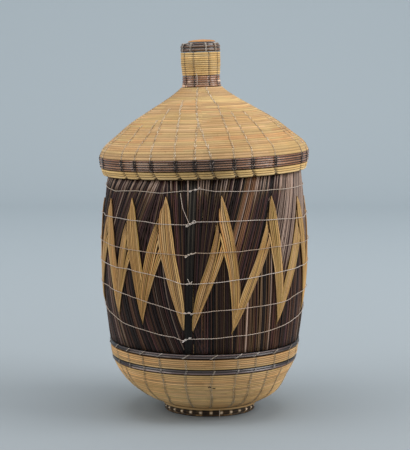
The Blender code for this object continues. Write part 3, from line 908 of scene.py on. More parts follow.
NATURAL_STRAW = StrandFinish(
    "natural_straw_coils", "natural_straw",
    ((200, 154, 104), (200, 166, 114), (198, 168, 114), (192, 154, 106), (204, 168, 122)),
    shade=(110, 76, 44), shade_amount=0.75, grain=0.17, along=55.0)
BOWL_STRAW = StrandFinish(
    "bowl_straw_coils", "natural_straw",
    ((214, 166, 110), (222, 184, 130), (214, 178, 120), (208, 166, 112), (226, 184, 132)),
    shade=(84, 56, 30), shade_amount=0.9, grain=0.2, along=60.0, dark=0.7, light=1.32)
RIM_STRAW = StrandFinish(
    "rim_straw_coils", "natural_straw",
    ((208, 166, 104), (214, 180, 122), (204, 170, 110), (216, 186, 136)),
    shade=(78, 48, 22), shade_amount=0.95, grain=0.2, along=60.0, light=1.42)
SEWING_STRAND = StrandFinish(
    "sewing_strand", "natural_straw",
    ((190, 160, 116), (196, 182, 158), (204, 176, 132)), dark=0.65, light=1.25,
    shade=(98, 74, 46), shade_amount=0.5, grain=0.15)
CONE_STITCH = StrandFinish(
    "cone_stitch_strand", "natural_straw",
    ((150, 118, 82), (206, 184, 150), (216, 206, 188), (214, 184, 140)), dark=0.66, light=1.2,
    shade=(130, 100, 68), shade_amount=0.4, grain=0.15)
RING_STITCH = StrandFinish(
    "ring_stitch_strand", "natural_straw",
    ((150, 136, 124), (190, 178, 166), (204, 194, 184)), dark=0.7, light=1.15,
    shade=(80, 70, 62), shade_amount=0.5, grain=0.15)
GOLDEN_ROD = StrandFinish(
    "golden_rod_skin", "golden_rods",
    ((188, 136, 78), (202, 158, 98), (186, 150, 84), (214, 174, 120), (190, 146, 94)),
    dark=0.5, light=1.34, shade=(70, 44, 22), shade_amount=0.85, specular=0.4, roughness=(0.38, 0.58),
    along=60.0, across=3.0)
DARK_ROD = StrandFinish(
    "dark_rod_skin", "dark_rods",
    ((26, 17, 14), (70, 44, 30), (70, 42, 44), (88, 66, 42), (156, 132, 118),
     (140, 98, 68)),
    dark=0.34, light=1.6, shade=(10, 5, 4), shade_amount=0.95, stain=(0.85, 0.75, 0.66), specular=0.26,
    roughness=(0.36, 0.58), grain=0.42, along=34.0, across=3.0, flecks=0.0)
DARK_COIL = StrandFinish(
    "dark_coil_skin", "dark_coils",
    ((98, 58, 34), (144, 104, 76), (112, 78, 56), (206, 170, 138)),
    dark=0.36, light=2.25, shade=(12, 7, 6), shade_amount=1.0, stain=(0.85, 0.75, 0.66), specular=0.9,
    roughness=(0.2, 0.34), flecks=0.0)
RING_COIL = StrandFinish(
    "blue_black_coil_skin", "dark_coils",
    ((82, 56, 52), (108, 88, 86), (150, 130, 122)),
    dark=0.27, light=1.9, shade=(12, 7, 6), shade_amount=1.0, stain=(0.88, 0.77, 0.68), specular=0.8,
    roughness=(0.24, 0.38), flecks=0.0)
GREY_ROD = StrandFinish(
    "grey_rod_skin", "grey_rods",
    ((26, 21, 18), (40, 34, 28), (56, 49, 41), (92, 84, 72)),
    dark=0.5, light=1.4, shade=(9, 7, 6), shade_amount=0.95, specular=0.28, roughness=(0.4, 0.56),
    flecks=0.0)
TIE_THREAD = StrandFinish(
    "tie_thread_fibre", "tie_thread",
    ((188, 166, 148), (212, 194, 180), (232, 222, 214)), dark=0.78, light=1.25,
    shade=(106, 88, 74), shade_amount=0.45, roughness=(0.7, 0.9), specular=0.2, grain=0.2, along=900.0,
    flecks=0.0)
FOOT_WRAP = StrandFinish(
    "foot_wraps", "natural_straw",
    ((58, 42, 26), (104, 78, 46), (190, 150, 100), (232, 212, 184)),
    dark=0.55, light=1.6, shade=(22, 14, 8), shade_amount=0.85)
BAND_STITCH = StrandFinish(
    "band_stitch_strand", "dark_coils",
    ((44, 38, 40), (66, 58, 58), (88, 78, 74), (176, 160, 150)), dark=0.6, light=1.3,
    shade=(18, 13, 12), shade_amount=0.6, specular=0.45, roughness=(0.4, 0.6), flecks=0.0)
CAP_STRAW = StrandFinish(
    "cap_straw_coil", "natural_straw",
    ((206, 146, 86), (210, 154, 98), (202, 148, 92)), shade=(110, 74, 50), dark=0.7,
    light=1.1)


def dress(piece: bpy.types.Object, body: str, finish: StrandFinish, *nodes: str) -> None:
    """Gives a piece its finish and its place in the assembly.

    Args:
        piece: The new piece.
        body: CAD body that it moves with.
        finish: Its finish.
        nodes: CAD nodes that it stands for.
    """
    piece.data.materials.append(finish.material())
    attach(piece, body)
    if nodes:
        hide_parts(*nodes)
    log.info("%s rides on %s, %d faces", piece.name, body, len(piece.data.polygons))


def straight_lines(azimuths: Sequence[float], slant: float = 0.0, turn: float = 0.0) -> list[Reach]:
    """Lines of stitches up a whole wall, which slant to the right, all turned by the same angle."""
    return [((0.0, azimuth + turn - slant), (1.0, azimuth + turn)) for azimuth in azimuths]


def spread_lines(front: Sequence[float], count: int, rng: np.random.Generator) -> list[float]:
    """Azimuths of lines of stitches: the seen ones as they are and even ones on the far side.

    Args:
        front: Azimuths of the lines that the photograph shows.
        count: How many lines there are in all.
        rng: Source of the hidden lines' small differences.

    Returns:
        All the azimuths.
    """
    hidden = count - len(front)
    step = (front[0] + 360.0 - front[-1]) / (hidden + 1)
    jitter = rng.uniform(-0.12, 0.12, hidden) * step
    return list(front) + [front[-1] + step * (i + 1) + jitter[i] for i in range(hidden)]


def sew(name: str, body: str, node: str, wall: CoiledWall, finish: StrandFinish, stroke: Stroke,
        thread: StrandFinish, seed: int) -> None:
    """Builds a coiled piece, and its stitches as a second piece.

    Args:
        name: Name of the coils.
        body: CAD body that both move with.
        node: CAD node that the coils stand for.
        wall: The coils.
        finish: Finish of the coils.
        stroke: Size and slant of a stitch.
        thread: Finish of the stitches.
        seed: Seed of their small differences.
    """
    mesh = StrandMesh(seed + len(name))
    wall.add_to(mesh)
    dress(mesh.build(name), body, finish, node)
    sewn = StrandMesh(mesh.rng)
    wall.stitches(sewn, stroke)
    dress(sewn.build(name.replace("coils", "stitches")), body, thread)


# Bowl and foot

@dataclass
class Bowl:
    """The coiled bowl on its foot, with the natural band between its two dark rings."""

    form: BasketForm
    pitch: float = 0.00158
    line_count: int = 25
    front_lines: tuple[float, ...] = (-51.8, -39.2, -27, -10.9, 5.4, 20, 31.4, 46.2, 62)
    bowl_courses: tuple[tuple[tuple[float, float], ...], ...] = (
        ((0, -66), (0.5, -63.5), (0.86, -59), (1, -58)),
        ((0, -64), (0.4, -55), (0.69, -47), (1, -39.5)),
        ((0, -58), (0.41, -45), (0.64, -32.5), (0.88, -27), (1, -26.5)),
        ((0, -26), (0.55, -16.5), (0.82, -12.5), (1, -11.5)),
        ((0, -4), (0.52, 1.5), (0.82, 4), (1, 4.5)),
        ((0, 22), (0.57, 20.5), (0.83, 20), (1, 19)),
        ((0, 31), (0.66, 30.5), (0.82, 31), (1, 29.8)),
        ((0, 42), (0.65, 43), (0.84, 44), (1, 42)),
        ((0, 54), (0.85, 57), (1, 56)))
    # Painted light: the bowl's tone is raised towards the left side and lowered a little at the front.
    painted_light: Reach = ((-180, 0), (-90, 0.45), (-50, 0.25), (-15, -0.1), (30, -0.1), (60, 0),
                    (180, 0))
    # Painted shade: the dark rings' tone is lowered towards both sides.
    ring_painted_shade: Reach = ((-90, -0.45), (-62, -0.35), (-45, 0), (48, 0), (64, -0.3),
                         (90, -0.4))
    ring_proud: float = 0.0005
    foot_width: float = 0.0052
    foot_wraps: int = 81
    wrap_steps: int = 3
    foot_coil: float = 0.0011
    foot_rows: tuple[tuple[float, ...], ...] = (
        (0.0, 0.27, 0.0, 0.0, 1.0), (0.27, 0.64, 1.0, 1.0, 0.3), (0.64, 1.0, 0.8, 0.7, 1.0))
    seed: int = 11

    def __post_init__(self) -> None:
        """Sets the lines of stitches, which all the bowl's pieces share."""
        self.azimuths = spread_lines(self.front_lines, self.line_count, np.random.default_rng(self.seed))

    def build(self) -> None:
        """Builds every piece of the bowl."""
        self._coils()
        self._foot()
        self._marks()

    def _coils(self) -> None:
        """Builds the belts of coils with their stitches, from the bowl up to the upper dark ring."""
        form = self.form
        half = form.gap / 2.0
        band_top = form.bowl_height - form.dark_ring
        band_bottom = band_top - form.natural_band
        bowl_top = band_bottom - form.dark_ring
        upright = straight_lines(self.azimuths)
        bowl_lines = [*self.bowl_courses, *upright[len(self.bowl_courses):]]
        straw = {"pitch": self.pitch, "relief": 0.0005, "uneven": 0.45, "draw_shade": 0.5, "pinch": 0.0002,
                 "pinch_width": 0.0009, "shape": RowShape.ROUND, "seam_shade": 0.9, "painted_light": self.painted_light}
        dark = {"pitch": form.dark_ring / 2.0, "relief": 0.0008, "pinch": 0.0003, "pinch_width": 0.0008,
                "shape": RowShape.CORD, "seam_shade": 1.0, "tone": (0.15, 1.0), "painted_light": self.ring_painted_shade}
        fine = Stroke(spacing=0.0004, slant=0.0006, width=0.00019, tone=(0.3, 1.0))
        firm = Stroke(spacing=0.00035, slant=0.0, width=0.00017, rise=0.0004, jitter=0.00004, tone=(0.5, 1.0))
        natural = (straw, 0.0, BOWL_STRAW, fine, SEWING_STRAND)
        ring = (dark, self.ring_proud, RING_COIL, firm, RING_STITCH)
        belts = (
            ("bowl_coils", "bowl_wall", 0.0, bowl_top, natural,
             {"lines": bowl_lines, "tone": (0.15, 1.0), "wander": 0.00022, "steps": 216}),
            # Painted shade: the row tones darken the upper coil of the lower ring and the lower coil of the
            # upper ring.
            ("lower_ring_coils", "lower_dark_ring", bowl_top, band_bottom, ring,
             {"lines": straight_lines(self.azimuths, 1.2, 0.6), "painted_row_shade": (0.05, -0.5)}),
            ("band_coils", "bowl_upper_band", band_bottom, band_top, natural,
             {"lines": upright, "tone": (0.05, 0.85)}),
            ("upper_ring_coils", "upper_dark_ring", band_top, form.bowl_height, ring,
             {"lines": straight_lines(self.azimuths, 4.2, 2.1), "painted_row_shade": (-0.6, 0.05)}))
        for name, node, low, high, (looks, proud, finish, stroke, thread), own in belts:
            outer, inner = (form.bowl_outline(depth, low + half, high - half)
                            for depth in (0.0, form.bowl_wall))
            wall = CoiledWall(outer, inner, spot=0.06, place=form.sag, **looks, **own)
            outer.radius += proud
            sew(name, "basket", node, wall, finish, stroke, thread, self.seed)

    def _foot(self) -> None:
        """Builds the foot, dark wrapped coils with light stitches between them, and the bowl's hem.

        Each of the foot's rows runs from one share of its height to another. It says the tone and
        the hue of its light wraps, of which the lowest row has none, and how golden the others are.
        """
        form = self.form
        mesh = StrandMesh(self.seed + 3)
        inside = form.foot_radius - self.foot_width
        top_outer = form.bowl_underside(form.foot_radius) - form.gap
        top_inner = form.bowl_underside(inside) - form.gap
        step = np.arange(self.foot_wraps * self.wrap_steps)
        azimuth = step * 360.0 / len(step)
        wrap = step // self.wrap_steps
        bulge = np.sin(math.pi * (step % self.wrap_steps + 0.5) / self.wrap_steps)
        lift = mesh.rng.uniform(-0.2, 0.2, self.foot_wraps)[wrap]
        golden = mesh.rng.uniform(0.0, 0.55, self.foot_wraps)[wrap]
        rings: list[tuple[Array, ...]] = []
        shares = np.linspace(0.0, 1.0, 5)
        for low, high, light_tone, light_hue, gold in self.foot_rows:
            light = (wrap % 3 == 0) & (light_tone > 0.0)
            for share in shares if high == 1.0 else shares[:-1]:
                height = top_outer * (low + (high - low) * share)
                proud = math.sin(math.pi * share) * (0.55 + 0.45 * bulge)
                radius = form.foot_radius - self.foot_coil + (self.foot_coil + 0.0002 * lift) * proud
                tone = np.clip(np.where(light, light_tone, 0.45) + lift, 0.0, 1.0)
                # Painted shade: the groove value darkens each wrap's sides and the lines between the rows.
                groove = 1.0 - np.clip(proud * (0.4 + 0.6 * bulge), 0.0, 1.0)
                rings.append((radius, height, tone, np.where(light, light_hue, golden * gold), groove))
        # Painted shade, at a little over half strength, on the foot's inner face.
        rings.append((inside, top_inner, 0.3, 0.1, 0.6))
        rings.append((inside + 0.0007, 0.0, 0.3, 0.1, 0.6))
        radius, height, tone, hue, groove = (
            np.stack([np.broadcast_to(value, step.shape) for value in values]) for values in zip(*rings))
        points = form.sag(around(radius, azimuth[None], height))
        strand = np.zeros(points.shape)
        strand[..., 0] = height
        strand[..., 2] = wrap
        mesh.add_grids(points[None], tone[None], hue[None], groove[None], strand[None], closed=True)
        dress(mesh.build("foot_coils"), "basket", FOOT_WRAP, "foot_ring")

        turn = np.arange(0.0, 360.0, 1.5)
        hem = form.sag(around(form.foot_radius + 0.0003, turn, top_outer - 0.0004))
        edge = StrandMesh()
        edge.add_tubes(hem[None], around(1.0, turn, 0.0), 0.001, 0.0009, 0.4, 0.3, sides=8, closed=True)
        dress(edge.build("bowl_hem_coil"), "basket", BOWL_STRAW)

    def _marks(self) -> None:
        """Adds the loose end below the foot and the two dark ends of strands on the bowl's front."""
        form = self.form
        share = np.linspace(0.0, 1.0, 12)
        loose = around(form.foot_radius + 0.001 + 0.004 * share**2, 11.8 - 1.2 * share,
                       0.0054 * (1.0 - share) + 0.0003)
        mesh = StrandMesh()
        mesh.add_tubes(form.sag(loose)[None], around(1.0, 17.5, 0.3), 0.00022, 0.00018, 0.9, 1.0)
        dress(mesh.build("foot_loose_strand"), "basket", RING_STITCH)

        outline = form.bowl_outline(0.0, 0.0, form.bowl_height)
        ends = StrandMesh()
        for start, end, level, bend in ((2.4, 4.2, 0.0279, 0.0005), (5.2, 7.0, 0.0276, -0.0004)):
            azimuth = start + (end - start) * share
            height = level + bend * np.sin(math.pi * share)
            radius = np.interp(height, outline.height, outline.radius) + 0.0001
            path = form.sag(around(radius, azimuth, height))
            ends.add_tubes(path[None], around(1.0, azimuth, -0.6), 0.0003, 0.0003, 0.2, 0.0, sides=5)
        dress(ends.build("bowl_dark_ends"), "basket", FOOT_WRAP)


# Barrel: wall, rods, seam, zigzag and threads

@dataclass
class Zigzag:
    """Course of the golden bands, two to each peak: to its right valley and to its left one.

    A place across a band runs from 1 at its outer edge, which is the zigzag's upper outline, to
    -1 at its inner edge. The reaches are half widths at shares of the band's length. A band more
    than the near angle away from a place doesn't count there.
    """

    form: BasketForm
    thickness: float = 0.0006
    tip: float = 0.0009
    front_peaks: tuple[float, ...] = (-65.7, -44, -21.7, 9.2, 39.5, 64.7)
    front_valleys: tuple[float, ...] = (-56.1, -36.4, -8.9, 15.9, 45, 73)
    hidden_peaks: int = 8
    hidden_valley: float = 0.3
    peak_margin: float = 0.0116
    peak_fall: float = 0.0095
    valley_margin: float = 0.0157
    valley_rise: float = 0.016
    hidden_turn: float = 3
    right_bows: tuple[float, ...] = (0.0005, 0.0003, -0.0022, 0.0036, 0.0014, 0.0034)
    left_bows: tuple[float, ...] = (0.0012, 0.0014, 0, 0.0034, 0.0032, 0.0024)
    hidden_bow: float = 0.001
    right_slims: tuple[float, ...] = (0, 0, 0, 1, 0.8, 0.3)
    left_slims: tuple[float, ...] = (0, 0, 0, 1, 0.8, 0.4)
    inner_slims: tuple[float, ...] = (0, 0, 0, 0.25, 0.9, 0.3)
    inner_drop: float = 0.0235
    near: float = 60.0
    tip_slope: float = 3
    right_slim: Reach = ((0, 0.4), (0.5, 0.48), (0.8, 0.25), (1, 0))
    left_slim: Reach = ((0, 0.55), (0.3, 0.5), (0.45, 0.38), (0.7, 0))
    inner_slim: Reach = ((0, 0.1), (0.3, 0.45), (0.7, 0.55), (0.9, 0.2), (1, 0))
    right_reach: tuple[Reach, Reach] = (
        ((0, 0.0003), (0.06, 0.0023), (0.14, 0.0028), (0.22, 0.0032), (0.3, 0.0038), (0.43, 0.004),
         (0.53, 0.0045), (0.67, 0.0048), (0.8, 0.0041), (0.91, 0.0026), (1, 0.0004)),
        ((0, 0.0004), (0.03, 0.0014), (0.06, 0.0027), (0.105, 0.0046), (0.2, 0.0062), (0.43, 0.005),
         (0.55, 0.0036), (0.69, 0.0027), (0.81, 0.0018), (0.92, 0.0009), (1, 0.0002)))
    left_reach: tuple[Reach, Reach] = (
        ((0, 0.0002), (0.08, 0.0008), (0.16, 0.0018), (0.3, 0.0038), (0.43, 0.0047), (0.64, 0.005),
         (0.74, 0.0046), (0.83, 0.0037), (0.91, 0.0026), (1, 0.0004)),
        ((0, 0.0072), (0.2, 0.0066), (0.43, 0.0054), (0.53, 0.0045), (0.63, 0.0034), (0.74, 0.0024),
         (0.83, 0.0014), (0.92, 0.0007), (1, 0.0002)))

    def bands(self) -> list[tuple[float, float]]:
        """Finds every band.

        Returns:
            Azimuths of its peak and of its valley, to the right and then to the left of each peak.
        """
        peaks, valleys = list(self.front_peaks), list(self.front_valleys)
        step = (peaks[0] + 360.0 - peaks[-1]) / (self.hidden_peaks + 1)
        for hidden in range(self.hidden_peaks):
            turn = self.hidden_turn * (1.0 - hidden / self.hidden_peaks)
            peaks.append(self.front_peaks[-1] + step * (hidden + 1) + turn)
            valleys.append(peaks[-1] + step * self.hidden_valley)
        bands = []
        for index, peak in enumerate(peaks):
            left = valleys[index - 1] - (360.0 if index == 0 else 0.0)
            bands += [(peak, valleys[index]), (peak, left)]
        return bands

    def valley_height(self, azimuth: float) -> float:
        """Height of the zigzag's foot."""
        rise = self.valley_rise * (1.0 - float(self.form.front_weight(azimuth)))
        return self.form.rod_foot + self.valley_margin + rise

    def ends(self, peak: float, valley: float) -> tuple[float, float, float]:
        """Where a band starts and ends.

        Args:
            peak: Azimuth of its peak.
            valley: Azimuth of its valley.

        Returns:
            Height of its top, height of its foot, and azimuth of its foot, clear of the seam.
        """
        side = 1.0 if valley > peak else -1.0
        seam = float(self.form.seam(self.valley_height(self.form.seam_azimuth)))
        crest = self.form.shoulder_radius + self.form.barrel_bulge
        room = math.degrees(self.form.seam_width / 2.0 / crest + self.tip / self.form.shoulder_radius)
        if abs(valley - seam) <= room:
            valley = seam - side * room
        fall = self.peak_fall * (1.0 - float(self.form.front_weight(peak)))
        return self.form.shoulder - self.peak_margin - fall, self.valley_height(valley), valley

    def course(self, peak: float, valley: float, height: Array, across: Array | float) -> Array:
        """Azimuth of one place across a band.

        Args:
            peak: Azimuth of the band's peak.
            valley: Azimuth of its valley.
            height: Heights at which it is wanted.
            across: 1 at the band's outer edge, -1 at its inner edge.

        Returns:
            Azimuths in degrees.
        """
        right = valley > peak
        side = 1.0 if right else -1.0
        top, bottom, foot = self.ends(peak, valley)
        share = (top - height) / (top - bottom)
        bows = dict(zip(self.front_peaks, self.right_bows if right else self.left_bows))
        bow = bows.get(peak, self.hidden_bow)
        inside = np.clip(share, 0.0, 1.0)
        tables = self.right_reach if right else self.left_reach
        outer, inner = (np.interp(share, *zip(*table)) for table in tables)
        if peak in self.front_peaks:
            number = self.front_peaks.index(peak)
            slims, slim = (self.right_slims, self.right_slim) if right else (self.left_slims, self.left_slim)
            outer = outer * (1.0 - slims[number] * np.interp(share, *zip(*slim)))
            if not right:
                inner = inner * (1.0 - self.inner_slims[number] * np.interp(share, *zip(*self.inner_slim)))
        reach = np.where(np.asarray(across) > 0.0, outer, inner) * across
        shift = np.degrees((bow * np.sin(math.pi * inside) + side * reach) / self.form.shoulder_radius)
        return peak + (foot - peak) * share + shift

    def cover(self, azimuth: Array, height: Array) -> Array:
        """How far the golden bands stand out of the dark rods.

        Args:
            azimuth: Azimuths of places on the barrel.
            height: Their heights.

        Returns:
            Metres at each place, 0 where no band lies.
        """
        covered = np.zeros(azimuth.shape, dtype=bool)
        for peak, valley in self.bands():
            top, bottom, _ = self.ends(peak, valley)
            side = 1.0 if valley > peak else -1.0
            outer, inner = (side * wrapped(self.course(peak, valley, height, across) - azimuth)
                            for across in (1.0, -1.0))
            level = (height < top) & (height > bottom)
            covered |= level & (outer > -0.5) & (inner < 0.5) & (np.abs(outer) < self.near)
        return np.where(covered, self.form.gap + self.thickness + 0.0003, 0.0)

    def above(self, azimuth: Array, height: Array) -> Array:
        """Finds out which places lie above the zigzag, by counting the bands over each.

        Args:
            azimuth: Azimuths of places on the barrel.
            height: Their heights.

        Returns:
            Whether each place lies above the zigzag's middle line.
        """
        crossings = np.zeros(azimuth.shape, dtype=int)
        for peak, valley in self.bands():
            top, bottom, foot = self.ends(peak, valley)
            heights = np.linspace(top, bottom, 9)
            azimuths = self.course(peak, valley, heights, 0.0)
            azimuths[0], azimuths[-1] = peak, foot
            for start, end, high, low in zip(azimuths[:-1], azimuths[1:], heights[:-1], heights[1:]):
                before = wrapped(start - azimuth)
                after = before + end - start
                crossed = ((before <= 0.0) != (after <= 0.0)) & (np.abs(before) < self.near)
                share = np.divide(-before, after - before, out=np.zeros_like(before), where=crossed)
                crossings += crossed & (high + (low - high) * share > height)
        return crossings % 2 == 0


class RodKind(Enum):
    """Colours of the dark rods, as places on the finish's row of colours."""

    BLACK = 0.0
    BROWN = 0.2
    PURPLE = 0.4
    OLIVE = 0.6
    PALE = 0.8
    ORANGE = 1.0


@dataclass(frozen=True)
class RodFamily:
    """Rods that share a direction: the leaning ones above the zigzag or the straighter ones below.

    Each rod is straight at the pivot height and shifts sideways away from it, by a table of
    azimuths and of shifts in metres. The chances are those of the kinds of rods, in their order.
    """

    pivot: float
    far: float
    power: float
    shifts: tuple[tuple[float, float], ...]
    chances: tuple[float, ...]
    start: float = -180.0
    end: float = 180.0

    def azimuth(self, name: Array, height: Array, radius: float) -> Array:
        """Azimuth at some heights of the rods that end at the named azimuths."""
        share = np.clip((height - self.pivot) / (self.far - self.pivot), 0.0, 1.0)
        return name - np.degrees(np.interp(name, *zip(*self.shifts)) / radius) * (1.0 - share**self.power)


@dataclass
class Barrel:
    """The wall, the mat of dark rods, its seam and the golden zigzag plaited over it."""

    form: BasketForm
    zigzag: Zigzag
    rod_pitch: float = 0.00128
    rod_samples: int = 44
    rod_steps: int = 14
    orange: tuple[float, float] = (24.0, 31.5)
    # Painted light: the rods' tone is raised towards the sides, most on the right where the key lamp stands,
    # and lowered at the front.
    upper_painted_light: Reach = ((-60, 0), (-22, 0), (-4, -0.16), (14, -0.14), (24, 0.2),
                          (50, 0.34), (80, 0.25), (120, 0))
    lower_painted_light: Reach = ((-60, 0.24), (-30, 0.2), (-8, -0.16), (12, -0.14), (22, 0.46),
                          (36, 0.66), (60, 0.46), (90, 0))
    fewest_samples: int = 3
    tuck_length: float = 0.004
    shade_backing_rods: int = 200
    shade_backing_depth: float = 0.00035
    gold_rods: int = 9
    gold_steps: int = 20
    gold_depth: float = 0.00046
    slit: float = 0.0015
    slit_rod: int = 6
    gold_shortest: float = 0.006
    seam_depth: float = 0.00055
    seam_glints: tuple[float, ...] = (0.1, 0.9, 0.25, 0.15, 0.8, 0.3)
    seed: int = 23

    def __post_init__(self) -> None:
        """Sets the families of rods, which start and end on the rods' edges."""
        form = self.form
        self.upper = RodFamily(
            form.rod_foot + 0.012, form.shoulder, 1.3,
            ((-180, 0.024), (-120, 0.034), (-60, 0.04), (-27, 0.036), (-22.5, 0.016),
             (-21.5, -0.008), (-16, -0.0055), (-12, -0.0015), (-8, 0), (-4.5, 0.001),
             (0, 0.006), (8, 0.015), (15, 0.022), (22, 0.027), (60, 0.03), (120, 0.026),
             (180, 0.024)),
            (0.26, 0.24, 0.33, 0.15, 0.02))
        self.lower_left = RodFamily(
            form.rod_foot + 0.078, form.rod_foot, 2.2,
            ((-180.0, 0.0), (-150.0, 0.0), (-95.0, 0.015), (5.0, 0.016), (180.0, 0.016)),
            (0.36, 0.28, 0.22, 0.11, 0.03), start=-178.0, end=4.0)
        self.lower_right = RodFamily(
            form.rod_foot + 0.078, form.rod_foot, 2.2, ((-8.0, 0.0), (20.0, 0.001), (180.0, 0.0)),
            (0.15, 0.38, 0.12, 0.33, 0.02), start=-8.0, end=182.0)

    def build(self) -> None:
        """Builds every piece of the barrel."""
        self._wall()
        self._rods()
        self._seam()
        self._golden_bands()

    def _wall(self) -> None:
        """Builds the coiled wall behind the rods and the mouth's coil on it."""
        form = self.form
        top = form.shoulder + form.neck_height
        join = form.shoulder + form.neck_height / 2.0
        for name, node, low, high, pitch in (("wall_coils", "inner_wall", form.rod_foot, join, 0.002),
                                             ("mouth_coil", "mouth_rim", join, top, 0.0013)):
            height = np.linspace(low, high, 120)
            radius = form.rod_surface(height) - form.rod_depth - form.gap
            wall = CoiledWall(Outline(radius, height), Outline(radius - form.wall, height), pitch, 0.0004,
                              inner_pitch=pitch, wander=0.00012, steps=180, place=form.lean)
            mesh = StrandMesh(self.seed + len(name))
            wall.add_to(mesh)
            dress(mesh.build(name), "basket", NATURAL_STRAW, node)

    def _rods(self) -> None:
        """Builds the mat: a dark backing that stands in for the shade between the rods, the leaning rods
        above the zigzag and those below it.
        """
        mesh = StrandMesh(self.seed)
        self._add_shade_backing(mesh)
        self._add_family(mesh, self.upper, above=True)
        self._add_family(mesh, self.lower_left, above=False)
        self._add_family(mesh, self.lower_right, above=False)
        dress(mesh.build("rod_mat"), "basket", DARK_ROD, "dark_rods")

    def _add_shade_backing(self, mesh: StrandMesh) -> None:
        """Adds a dark layer of upright rods, seen only between the others, which stands in for the shade in
        the gaps between them.

        Args:
            mesh: Mesh that takes them.
        """
        form, rng, count = self.form, mesh.rng, self.shade_backing_rods
        azimuth = (np.arange(count) * 360.0 / count + rng.normal(0.0, 0.2, count))[:, None]
        height = np.linspace(form.rod_foot + 0.0003, form.shoulder - 0.0006, 10)[None]
        radius = form.rod_surface(height) - form.rod_depth + self.shade_backing_depth
        tone, hue = rng.uniform(0.0, 0.3, count), rng.uniform(0.0, 0.4, count)
        mesh.add_tubes(form.lean(around(radius, azimuth, height)), around(1.0, azimuth, 0.0), 0.0011,
                       self.shade_backing_depth, tone, hue, sides=5)

    def _add_family(self, mesh: StrandMesh, family: RodFamily, above: bool) -> None:
        """Adds one family of rods, each cut where it passes under the zigzag or the seam.

        Args:
            mesh: Mesh that takes them.
            family: Their course and colours.
            above: Whether they fill the barrel above the zigzag, else below it.
        """
        form, rng = self.form, mesh.rng
        crest = form.shoulder_radius + form.barrel_bulge
        fine = np.linspace(family.start, family.end, 3601)
        spread = family.far + (family.pivot - family.far) * 0.3
        reference = np.maximum.accumulate(family.azimuth(fine, np.full(fine.shape, spread), crest))
        count = round(math.radians(reference[-1] - reference[0]) * crest / self.rod_pitch)
        name = np.interp((np.arange(count) + 0.5) / count * (reference[-1] - reference[0]) + reference[0],
                         reference, fine)
        name = name + rng.normal(0.0, 0.1, count)

        near = form.shoulder - 0.0003 if above else form.rod_foot + 0.0002
        far = family.pivot if above else form.shoulder - 0.006
        height = np.linspace(near, far, self.rod_samples)[None]
        azimuth = family.azimuth(name[:, None], height, crest)
        seam_away = np.radians(wrapped(azimuth - form.seam(height))) * form.shoulder_radius
        free = self.zigzag.above(azimuth, height) == above
        free &= np.abs(seam_away) > form.seam_width / 2.0 - 0.0006
        first = np.zeros(count, dtype=int) if above else np.argmax(free, axis=1)
        later = np.arange(self.rod_samples)[None] > first[:, None]
        blocked = ~free & later
        last = np.where(blocked.any(axis=1), np.argmax(blocked, axis=1), self.rod_samples - 1)
        pitch = np.abs(np.diff(azimuth, axis=0, append=azimuth[-1:] + 1.0)) * math.radians(crest)
        tight = (pitch < 0.5 * self.rod_pitch) & later
        odd = (np.arange(count) % 2 == 1) & tight.any(axis=1)
        last = np.where(odd, np.minimum(last, np.argmax(tight, axis=1)), last)
        keep = (last - first >= self.fewest_samples) & free[np.arange(count), first]
        name, first, last = name[keep], first[keep], last[keep]
        count = len(name)

        step = (far - near) / (self.rod_samples - 1)
        begin = near + step * first[:, None]
        finish = near + step * (last[:, None] + 0.7)
        share = np.linspace(0.0, 1.0, self.rod_steps)[None]
        height = begin + (finish - begin) * share
        lean = rng.normal(0.0, 0.35, count)[:, None] * share
        azimuth = family.azimuth(name[:, None], height, crest) + lean
        depth = rng.uniform(0.0005, 0.00062, count)[:, None]
        width = rng.uniform(0.00052, 0.00072, count)[:, None]
        length = np.abs(finish - begin) / self.tuck_length
        tuck = (smoothstep(1.0 - (1.0 - share) * length)
                + (first > 0)[:, None] * smoothstep(1.0 - share * length))
        sunk = rng.uniform(0.0, 0.0004, count)[:, None] + 0.0005 * tuck
        radius = form.rod_surface(height) - depth - sunk
        tone, hue = self._tones(rng, family, height, azimuth, above)
        mesh.add_tubes(form.lean(around(radius, azimuth, height)), around(1.0, azimuth, 0.0), width, depth,
                       tone, hue, sides=8, first=int(name[0]) + 500)

    def _tones(self, rng: np.random.Generator, family: RodFamily, height: Array, azimuth: Array,
               above: bool) -> tuple[Array, Array]:
        """Tone and hue of every point of a family's rods, painted light and highlights included.

        Args:
            rng: Source of their differences.
            family: The family.
            height: Height of each of its points.
            azimuth: Azimuth of each of its points.
            above: Whether the family is the upper one.

        Returns:
            Tones and hues, one for each point.
        """
        count = len(azimuth)
        chance = np.tile(family.chances, (count, 1))
        middle = azimuth[:, 0]
        front = wrapped(middle)
        # Painted sheen: more rods turn pale towards the right side, where the key lamp lights them.
        side = smoothstep((front - 40.0) / 25.0) * smoothstep((118.0 - front) / 20.0)
        chance[:, -1] += side * (0.46 if above else 0.08)
        chance /= chance.sum(axis=1, keepdims=True)
        picked = (chance.cumsum(axis=1) > rng.uniform(0.0, 1.0, (count, 1))).argmax(axis=1)
        hue = np.array([kind.value for kind in RodKind])[picked] + rng.uniform(-0.09, 0.03, count)
        cluster = ripple(rng, middle, 0.16, (4, 9, 17, 31))
        # Painted light by azimuth, from the family's table.
        shade = np.interp(front, *zip(*(self.upper_painted_light if above else self.lower_painted_light)))
        tone = np.clip(0.46 + shade + cluster + rng.normal(0.0, 0.2, count), 0.0, 1.0)[:, None]
        hue = hue[:, None]
